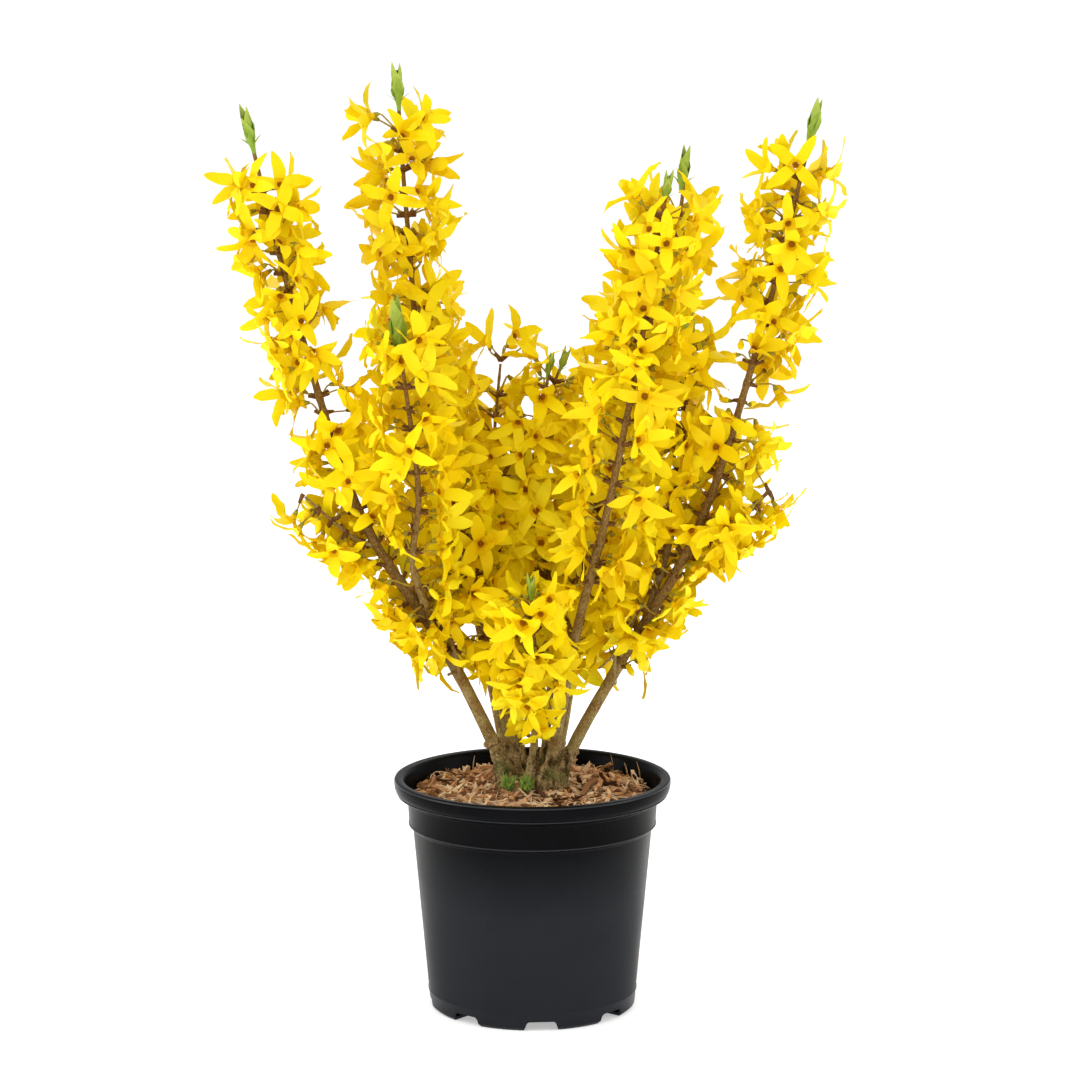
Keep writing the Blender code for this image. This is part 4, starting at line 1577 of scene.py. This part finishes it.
@dataclass
class Blossom:
    """All flowers, in sprays of two or three from each side of a node, and the stalks that carry them.

    Three lists say in mm what the crown shows from the front. under_side has its lower edge, as height and
    distance from the axis. sky has the open gaps, as side, height and radius. bare has the stretches of wood,
    as the limb and the heights between which it shows.
    """

    limbs: Sequence[Limb]
    wood: BVHTree
    reach: tuple[float, float] = (10.5 * MM, 22.5 * MM)
    bud_reach: float = 0.8
    rise: tuple[float, float] = (-0.2, 0.8)
    top_rise: tuple[float, float] = (0.0, 0.7)
    crowned: tuple[str, ...] = ("centre_left",)
    crown_rise: tuple[float, float] = (0.5, 1.4)
    hanging: tuple[str, ...] = ("left_twig", "right_twig", "low_left", "low_right", "drop_left")
    hang: tuple[float, float] = (0.6, 1.6)
    spray: tuple[int, ...] = (2, 2, 3, 3)
    sparse: tuple[str, ...] = ("low_left", "low_right", "drop_left")
    sparse_spray: tuple[int, ...] = (1, 1, 2)
    spray_spread: float = 0.62
    turn_jitter: float = 0.22
    tilt: float = 0.6
    droop: float = 0.32
    low_droop: float = 0.7
    nodding_height: float = 360.0 * MM
    nodding_fade: float = 120.0 * MM
    sizes: tuple[float, float] = (0.86, 1.04)
    moulds_of_stage: int = 10
    stage_weights: tuple[float, ...] = (0.48, 0.34, 0.14, 0.04)
    low_stage_weights: tuple[float, ...] = (0.22, 0.34, 0.40, 0.04)
    tone_weights: tuple[int, ...] = (5, 3, 4, 2)
    tries: int = 14
    crossings: int = 14
    neighbour_distance: float = 42.0 * MM
    under_side: tuple[tuple[float, float], ...] = (
        (180, 0), (187, 36), (198, 60), (212, 76), (240, 88), (283, 126), (324, 164), (332, 180), (352, 192),
        (372, 206),
    )
    bare: tuple[tuple[str, int, int], ...] = (
        ("left_outer", 165, 236), ("left_outer", 275, 330), ("right_outer", 165, 238),
        ("right_outer", 272, 318), ("right_outer", 338, 375), ("right_front", 255, 298),
        ("right_front", 318, 345), ("right_front", 366, 415), ("left_front", 330, 372),
        ("left_front", 405, 435), ("centre_left", 410, 440), ("left_twig", 328, 358),
    )
    bare_width: float = 4.2
    sky: tuple[tuple[float, float, float], ...] = (
        (157, 409, 5.5), (-154, 407, 5.5), (125, 480, 5), (-32, 443, 5), (-14, 443, 5), (125, 439, 4.5),
        (-125, 479, 4.5), (-105, 600, 3.5), (-140, 465, 4), (141, 467, 4), (-123, 437, 4), (-135, 413, 4),
        (138, 415, 4), (-115, 292, 4), (120, 293, 4), (-43, 262, 4), (-3, 416, 3.5), (143, 432, 3.5),
        (-141, 430, 3.5), (-83, 569, 3.5), (-80, 545, 3), (33, 208, 8),
    )
    cover_width: float = 9.0 * MM
    cover_chance: float = 0.5
    stalk_radius: float = 0.9 * MM
    stalk_taper: float = 0.25
    stalk_steps: int = 4
    stalk_end: float = 6.4 * MM
    stalk_straight: float = 2.5 * MM
    root_depth: float = 0.7
    scale_radii: tuple[float, float] = (1.9 * MM, 1.1 * MM)
    scale_length: float = 6.6 * MM
    scale_centre: float = 2.4 * MM
    dice: random.Random = field(default_factory=lambda: random.Random(SEED + 3))

    def __post_init__(self) -> None:
        """Makes the moulds of the flowers, and finds where the bare wood shows from the front."""
        copies = range(self.moulds_of_stage)
        self.moulds = [[FlowerMould(stage, self.dice).build() for _ in copies] for stage in Stage]
        self.buds = [BudMould().build()]
        self.placed: list[PlacedFlower] = []
        self.trees: list[tuple[Vector, BVHTree]] = []
        self.bare_lines: list[dict[int, tuple[float, float]]] = []
        routes = {limb.name: limb.route for limb in self.limbs}
        for name, low, high in self.bare:
            line = {}
            for k in range(int(routes[name].length / MM)):
                point, _ = routes[name].at(k * MM)
                x, z = seen_at(point)
                if low < z < high:
                    line[int(z)] = (x, point.y)
            self.bare_lines.append(line)

    def throw(self, limb: Limb, node: float, turn: float, tone: int) -> PlacedFlower:
        """Deals out one flower at a node.

        Args:
            limb: The limb.
            node: Length from the limb's foot.
            turn: Direction round the limb.
            tone: The spray's yellow.

        Returns:
            The flower.
        """
        dice = self.dice
        point, along, side, across = limb.frame(node)
        out = math.cos(turn) * side + math.sin(turn) * across
        rise = self.rise
        if node == limb.nodes[0]:
            rise = self.crown_rise if limb.name in self.crowned else self.top_rise
        leave = (out + dice.uniform(*rise) * along).normalized()
        if limb.name in self.hanging:
            leave = (leave - UP * dice.uniform(*self.hang)).normalized()
        drift = Vector([dice.uniform(-self.tilt, self.tilt) for _ in range(3)])
        low = clamp((self.nodding_height - point.z) / self.nodding_fade)
        facing = (leave + drift - UP * (self.droop + low * self.low_droop)).normalized()
        weights = zip(self.stage_weights, self.low_stage_weights)
        chances = [upper * (1 - low) + lower * low for upper, lower in weights]
        moulds = dice.choices([*self.moulds, self.buds], weights=chances)[0]
        size = dice.uniform(*self.sizes)
        reach = dice.uniform(*self.reach) * (self.bud_reach if moulds is self.buds else 1.0)
        centre = point + (limb.radius(node) + reach) * leave
        turned = turn_to(facing, dice.uniform(0, 2 * math.pi))
        place = Matrix.Translation(centre) @ turned @ Matrix.Scale(size, 4)
        root = point + limb.radius(node) * self.root_depth * out
        return PlacedFlower(limb.mass, dice.choice(moulds), place, root, leave, tone)

    def blocks_view(self, flower: PlacedFlower) -> bool:
        """Tells whether a flower spoils the crown as it shows from the front.

        Args:
            flower: The flower in its place.

        Returns:
            True where a petal hangs below the crown, fills an open gap in it or hides bare wood behind it.
        """
        for vert in flower.mould.vertices:
            point = flower.place @ vert.co
            x, z = seen_at(point)
            for (low, inner), (high, outer) in zip(self.under_side, self.under_side[1:]):
                if inner <= abs(x) < outer and z < low + (high - low) * (abs(x) - inner) / (outer - inner):
                    return True
            if any((x - gap_x) ** 2 + (z - gap_z) ** 2 < radius**2 for gap_x, gap_z, radius in self.sky):
                return True
            for line in self.bare_lines:
                wood_x, wood_y = line.get(int(z), (math.inf, 0.0))
                if abs(x - wood_x) < self.bare_width and point.y < wood_y:
                    return True
        return False

    def hides_cane(self, limb: Limb, node: float, flower: PlacedFlower) -> bool:
        """Tells whether a flower stands before its own cane, where only a few do.

        Args:
            limb: The limb that bears it.
            node: Length from the limb's foot.
            flower: The flower in its place.

        Returns:
            True where the flower is left out.
        """
        centre = flower.place.translation
        point, _ = limb.route.at(node)
        covers = centre.y < point.y and abs(centre.x - point.x) < self.cover_width
        return covers and self.dice.random() > self.cover_chance

    def place_flower(self, limb: Limb, node: float, turn: float, tone: int) -> None:
        """Tries to place a flower so that it grows neither through the wood nor far through another flower.

        Args:
            limb: The limb.
            node: Length from the limb's foot.
            turn: Direction round the limb.
            tone: The spray's yellow.
        """
        for _ in range(self.tries):
            flower = self.throw(limb, node, turn + self.dice.gauss(0, self.turn_jitter), tone)
            if self.hides_cane(limb, node, flower) or self.blocks_view(flower):
                continue
            centre = flower.place.translation
            tree = search_tree(flower.mould, flower.place)
            near = [other for where, other in self.trees if (where - centre).length < self.neighbour_distance]
            if tree.overlap(self.wood) or any(len(tree.overlap(other)) > self.crossings for other in near):
                continue
            self.placed.append(flower)
            self.trees.append((centre, tree))
            return

    def arrange(self) -> None:
        """Places the sprays, one in each axil of every node."""
        dice = self.dice
        for limb in self.limbs:
            counts = self.sparse_spray if limb.name in self.sparse else self.spray
            for node, first_turn in zip(limb.nodes, limb.turns):
                for axil in (0, 1):
                    tone = dice.choices(range(len(Tone)), weights=self.tone_weights)[0]
                    count = dice.choice(counts)
                    for k in range(count):
                        lean = (k - (count - 1) / 2) * self.spray_spread
                        self.place_flower(limb, node, first_turn + math.pi * axil + lean, tone)

    def build_flowers(self) -> None:
        """Joins the flowers of each mass into a piece that stands for its solid."""
        materials = flower_materials()
        for mass in dict.fromkeys(flower.mass for flower in self.placed):
            name = "flowers_" + mass
            bm = bmesh.new()
            for flower in self.placed:
                if flower.mass == mass:
                    add_copy(bm, flower.mould, flower.place, flower.tone, FlowerPart.PETAL.value)
            add_piece(name, finished(bm, name), materials, replaces=["bloom_" + mass])

    def scale_mould(self) -> bpy.types.Mesh:
        """Makes the brown bud scales at a stalk's foot, round +Z.

        Returns:
            Their mesh, with the second material number of the stalks.
        """
        bm = bmesh.new()
        foot, top = self.scale_radii
        place = Matrix.Translation((0, 0, self.scale_centre))
        bmesh.ops.create_cone(
            bm, cap_ends=True, segments=6, radius1=foot, radius2=top, depth=self.scale_length, matrix=place,
        )
        for face in bm.faces:
            face.material_index = 1
        return finished(bm, "scale_mould")

    def stalk_rings(self, flower: PlacedFlower) -> list[list[Vector]]:
        """Bends a stalk from its axil to the foot of its flower.

        Args:
            flower: The flower.

        Returns:
            The rings of the stalk's tube.
        """
        facing = (flower.place.to_3x3() @ UP).normalized()
        end = flower.place @ Vector((0, 0, -self.stalk_end))
        span = (end - flower.root).length
        away = (flower.leave + (end - flower.root) / span).normalized()
        last = end - facing * min(span / 3, self.stalk_straight)
        knots = (flower.root, flower.root + away * span / 3, last, end)
        rings: list[list[Vector]] = []
        before = flower.root - away * MM
        for step in range(self.stalk_steps + 1):
            t = step / self.stalk_steps
            weights = ((1 - t) ** 3, 3 * t * (1 - t) ** 2, 3 * t**2 * (1 - t), t**3)
            centre = sum((w * knot for w, knot in zip(weights, knots)), Vector())
            along = (centre - before).normalized()
            side = (side - along * side.dot(along)).normalized() if rings else along.orthogonal().normalized()
            radius = self.stalk_radius * (1 - self.stalk_taper * t)
            rings.append(ring_about(centre, side, along.cross(side), radius, 4))
            before = centre
        return rings

    def build_stalks(self) -> bpy.types.Object:
        """Makes each flower's arching stalk and the brown bud scales at its foot.

        Returns:
            The piece.
        """
        bm = bmesh.new()
        scales = self.scale_mould()
        for flower in self.placed:
            add_tube(bm, self.stalk_rings(flower))
            add_copy(bm, scales, Matrix.Translation(flower.root) @ turn_to(flower.leave))
        bpy.data.meshes.remove(scales)
        bmesh.ops.recalc_face_normals(bm, faces=bm.faces)
        materials = [STALK_GREEN.material(), BUD_SCALE.material()]
        return add_piece("flower_stalks", finished(bm, "flower_stalks"), materials)

    def build(self) -> None:
        """Arranges and builds the flowers and their stalks."""
        self.arrange()
        log.info("%d flowers", len(self.placed))
        self.build_flowers()
        self.build_stalks()


@dataclass(frozen=True)
class LeafPair:
    """Two opposite leaves of a shoot: place and size in mm, lean and curl in radians, and fold as a share."""

    z: float
    length: float
    width: float
    lean: float
    curl: float
    fold: float


@dataclass
class TipShoots:
    """The green leaf shoots that break at the tips of the canes."""

    limbs: Sequence[Limb]
    least_shoot: float = 20.0 * MM
    shoot_length: float = 24.0 * MM
    sizes: tuple[tuple[str, float], ...] = (
        ("left_front", 1.3), ("centre", 0.6), ("centre_right", 0.6), ("front_low", 0.7), ("right_front", 0.7),
    )
    bud_mm: tuple[tuple[float, float], ...] = (
        (-9.0, 1.4), (-5.0, 1.7), (-1.0, 2.6), (5.0, 3.4), (11.0, 2.8), (18.0, 0.5),
    )
    bud_share: float = 0.15
    pairs: tuple[LeafPair, ...] = (
        LeafPair(z=0.0, length=25.0, width=13.5, lean=0.40, curl=-0.62, fold=0.75),
        LeafPair(z=-2.0, length=20.0, width=13.0, lean=0.52, curl=-0.68, fold=0.65),
        LeafPair(z=-4.0, length=13.0, width=3.4, lean=0.62, curl=0.6, fold=0.3),
    )
    outline: tuple[tuple[float, float], ...] = (
        (0.0, 0.3), (0.2, 0.8), (0.42, 1.0), (0.64, 0.7), (0.84, 0.32), (1.0, 0.04),
    )
    bend_steps: int = 20
    narrowing: float = 0.35
    leaf_turn: float = 0.2
    stretches: tuple[float, float] = (0.9, 1.08)
    dice: random.Random = field(default_factory=lambda: random.Random(SEED + 4))

    def add_leaf(
        self, bm: bmesh.types.BMesh, place: Matrix, length: float, width: float, pair: LeafPair
    ) -> list[float]:
        """Shapes one folded leaf that stands up from a place.

        Args:
            bm: Where the leaf goes.
            place: The leaf's foot, with +Z along the shoot and +X outwards.
            length: Its length.
            width: Its width.
            pair: The pair that it is of.

        Returns:
            For each vertex in turn, its share of the leaf's length.
        """
        rows = len(self.outline) - 1
        line = [Vector()]
        for k in range(1, self.bend_steps + 1):
            angle = pair.lean + pair.curl * k / self.bend_steps
            line.append(line[-1] + length / self.bend_steps * Vector((math.sin(angle), 0, math.cos(angle))))
        grid = bmesh.ops.create_grid(bm, x_segments=4, y_segments=rows, size=1.0)["verts"]
        shares = []
        for vert in grid:
            across = vert.co.x
            share, wide = self.outline[round((vert.co.y + 1) / 2 * rows)]
            edge = across * width / 2 * wide
            inwards = pair.fold * abs(across) * width / 2 * wide
            point = line[round(share * self.bend_steps)]
            vert.co = place @ (point + Vector((-inwards, edge * (1 - self.narrowing * pair.fold), 0)))
            shares.append(share)
        return shares

    def add_shoot(self, bm: bmesh.types.BMesh, limb: Limb) -> list[float]:
        """Shapes the shoot at a limb's tip.

        Args:
            bm: Where the shoot goes.
            limb: The limb.

        Returns:
            For each vertex in turn, its share of its leaf's length.
        """
        dice = self.dice
        tip, along, _, _ = limb.frame(limb.route.length)
        size = dict(self.sizes).get(limb.name, 1.0)
        turned = turn_to(along, dice.uniform(0, math.pi))
        base = Matrix.Translation(tip - along * self.shoot_length * size) @ turned
        side, across = (base.to_3x3() @ Vector(direction) for direction in ((1, 0, 0), (0, 1, 0)))
        scale = MM * size
        rings = [ring_about(base @ (UP * z * scale), side, across, r * scale, 8) for z, r in self.bud_mm]
        shares = [self.bud_share] * add_tube(bm, rings)
        for number, pair in enumerate(self.pairs):
            out = Matrix.Translation((1.0 * MM, 0, pair.z * MM * size))
            for k in range(2):
                turn = math.pi / 2 * number + math.pi * k + dice.gauss(0, self.leaf_turn)
                place = base @ Matrix.Rotation(turn, 4, "Z") @ out
                stretch = size * dice.uniform(*self.stretches)
                shares += self.add_leaf(bm, place, pair.length * MM * stretch, pair.width * MM * size, pair)
        return shares

    def build(self) -> bpy.types.Object:
        """Makes all shoots as one piece.

        Returns:
            The piece.
        """
        bm = bmesh.new()
        shares: list[float] = []
        for limb in self.limbs:
            if limb.shoot >= self.least_shoot and limb.nodes:
                shares += self.add_shoot(bm, limb)
        mesh = finished(bm, "leaf_shoots")
        set_attribute(mesh, "leaf_share", shares)
        return add_piece("leaf_shoots", mesh, [FRESH_LEAF.material()])


@dataclass
class MossTufts:
    """Two small cushions of moss against the foot of the stool."""

    centres_mm: tuple[tuple[float, ...], ...] = ((-16.5, -23.5, 158.5), (-4.0, -26.0, 159.0))
    blades: int = 60
    spread: float = 1.9 * MM
    lean: float = 0.5
    lean_front: float = 0.2
    blade_radius: float = 1.0 * MM
    tip_radius: float = 0.05 * MM
    blade_length: tuple[float, float] = (4.0 * MM, 8.0 * MM)
    dice: random.Random = field(default_factory=lambda: random.Random(SEED + 5))

    def build(self) -> bpy.types.Object:
        """Sets the blades of both cushions.

        Returns:
            The piece.
        """
        dice = self.dice
        bm = bmesh.new()
        for centre in self.centres_mm:
            for _ in range(self.blades):
                spot = Vector(centre) * MM + Vector([dice.gauss(0, self.spread) for _ in range(3)])
                sideways, backwards = dice.gauss(0, self.lean), dice.gauss(-self.lean_front, self.lean)
                lean = Vector((sideways, backwards, 1.0)).normalized()
                length = dice.uniform(*self.blade_length)
                place = Matrix.Translation(spot + lean * length / 2) @ turn_to(lean)
                bmesh.ops.create_cone(
                    bm, cap_ends=False, segments=3, radius1=self.blade_radius, radius2=self.tip_radius,
                    depth=length, matrix=place,
                )
        return add_piece("moss", finished(bm, "moss"), [MOSS.material()])


@dataclass
class Studio:
    """Plain pale floor, soft white light all round with a larger key from the upper left, and the camera.

    Each light is given by its name, its place, the length of its side and its power in watts.
    """

    camera_pitch: float = math.radians(90 - 9.24)
    lens: float = 120.0
    sensor: float = 36.0
    far_end: float = 200.0
    floor_size: float = 60.0
    floor_glow: float = 0.42
    ambient: float = 0.68
    aim: tuple[float, float, float] = (0, 0, 0.35)
    lights: tuple[tuple[str, tuple[float, float, float], float, float], ...] = (
        ("key", (-0.9, -1.7, 3.0), 1.6, 22.0),
        ("left_side", (-2.6, -0.5, 1.3), 1.4, 17.0),
        ("right_side", (2.6, -0.5, 1.3), 1.4, 14.0),
        ("back", (0.6, 2.2, 2.2), 1.6, 24.0),
    )

    def add_floor(self) -> None:
        """Lays a white floor that glows a little, so that the shrub's shadow stays soft."""
        bm = bmesh.new()
        bmesh.ops.create_grid(bm, x_segments=1, y_segments=1, size=self.floor_size)
        floor = add_object("floor", finished(bm, "floor"))
        paper = Finish("white_paper_sweep", "#FAFAF9", roughness=0.9, specular=0.1).material()
        shader = paper.node_tree.nodes["Principled BSDF"]
        shader.inputs["Emission Color"].default_value = (1, 1, 1, 1)
        shader.inputs["Emission Strength"].default_value = self.floor_glow
        floor.data.materials.append(paper)

    def add_lights(self) -> None:
        """Adds the even light of a white room, and the square soft lights that face the shrub."""
        world = bpy.data.worlds.new("white_room")
        world.use_nodes = True
        background = world.node_tree.nodes["Background"]
        background.inputs["Color"].default_value = (1, 1, 1, 1)
        background.inputs["Strength"].default_value = self.ambient
        bpy.context.scene.world = world
        for name, place, size, power in self.lights:
            lamp = bpy.data.lights.new(name, "AREA")
            lamp.shape = "SQUARE"
            lamp.size = size
            lamp.energy = power
            holder = add_object(name, lamp)
            holder.location = place
            holder.rotation_euler = (Vector(self.aim) - Vector(place)).to_track_quat("-Z", "Y").to_euler()

    def add_camera(self) -> None:
        """Sets the camera where the photo's stood."""
        camera = bpy.data.cameras.new("camera")
        camera.lens = self.lens
        camera.sensor_width = self.sensor
        camera.clip_end = self.far_end
        holder = add_object("camera", camera)
        holder.location = CAMERA_PLACE
        holder.rotation_euler = (self.camera_pitch, 0.0, 0.0)
        bpy.context.scene.camera = holder

    def build(self) -> None:
        """Sets the floor, the lights, the camera and the view."""
        self.add_floor()
        self.add_lights()
        self.add_camera()
        bpy.context.scene.view_settings.view_transform = "Standard"


def main() -> None:
    """Builds the shrub, its pot and the studio."""
    logging.basicConfig(level=logging.INFO, format="%(name)s: %(message)s")
    dice = random.Random(SEED)
    shrub = limbs()
    for limb in shrub:
        limb.set_nodes(dice)
    Pot().build()
    Mulch().build()
    canes = Wood(shrub).build()
    Blossom(shrub, search_tree(canes.data, canes.matrix_world)).build()
    TipShoots(shrub).build()
    MossTufts().build()
    Studio().build()


if __name__ == "__main__":
    main()
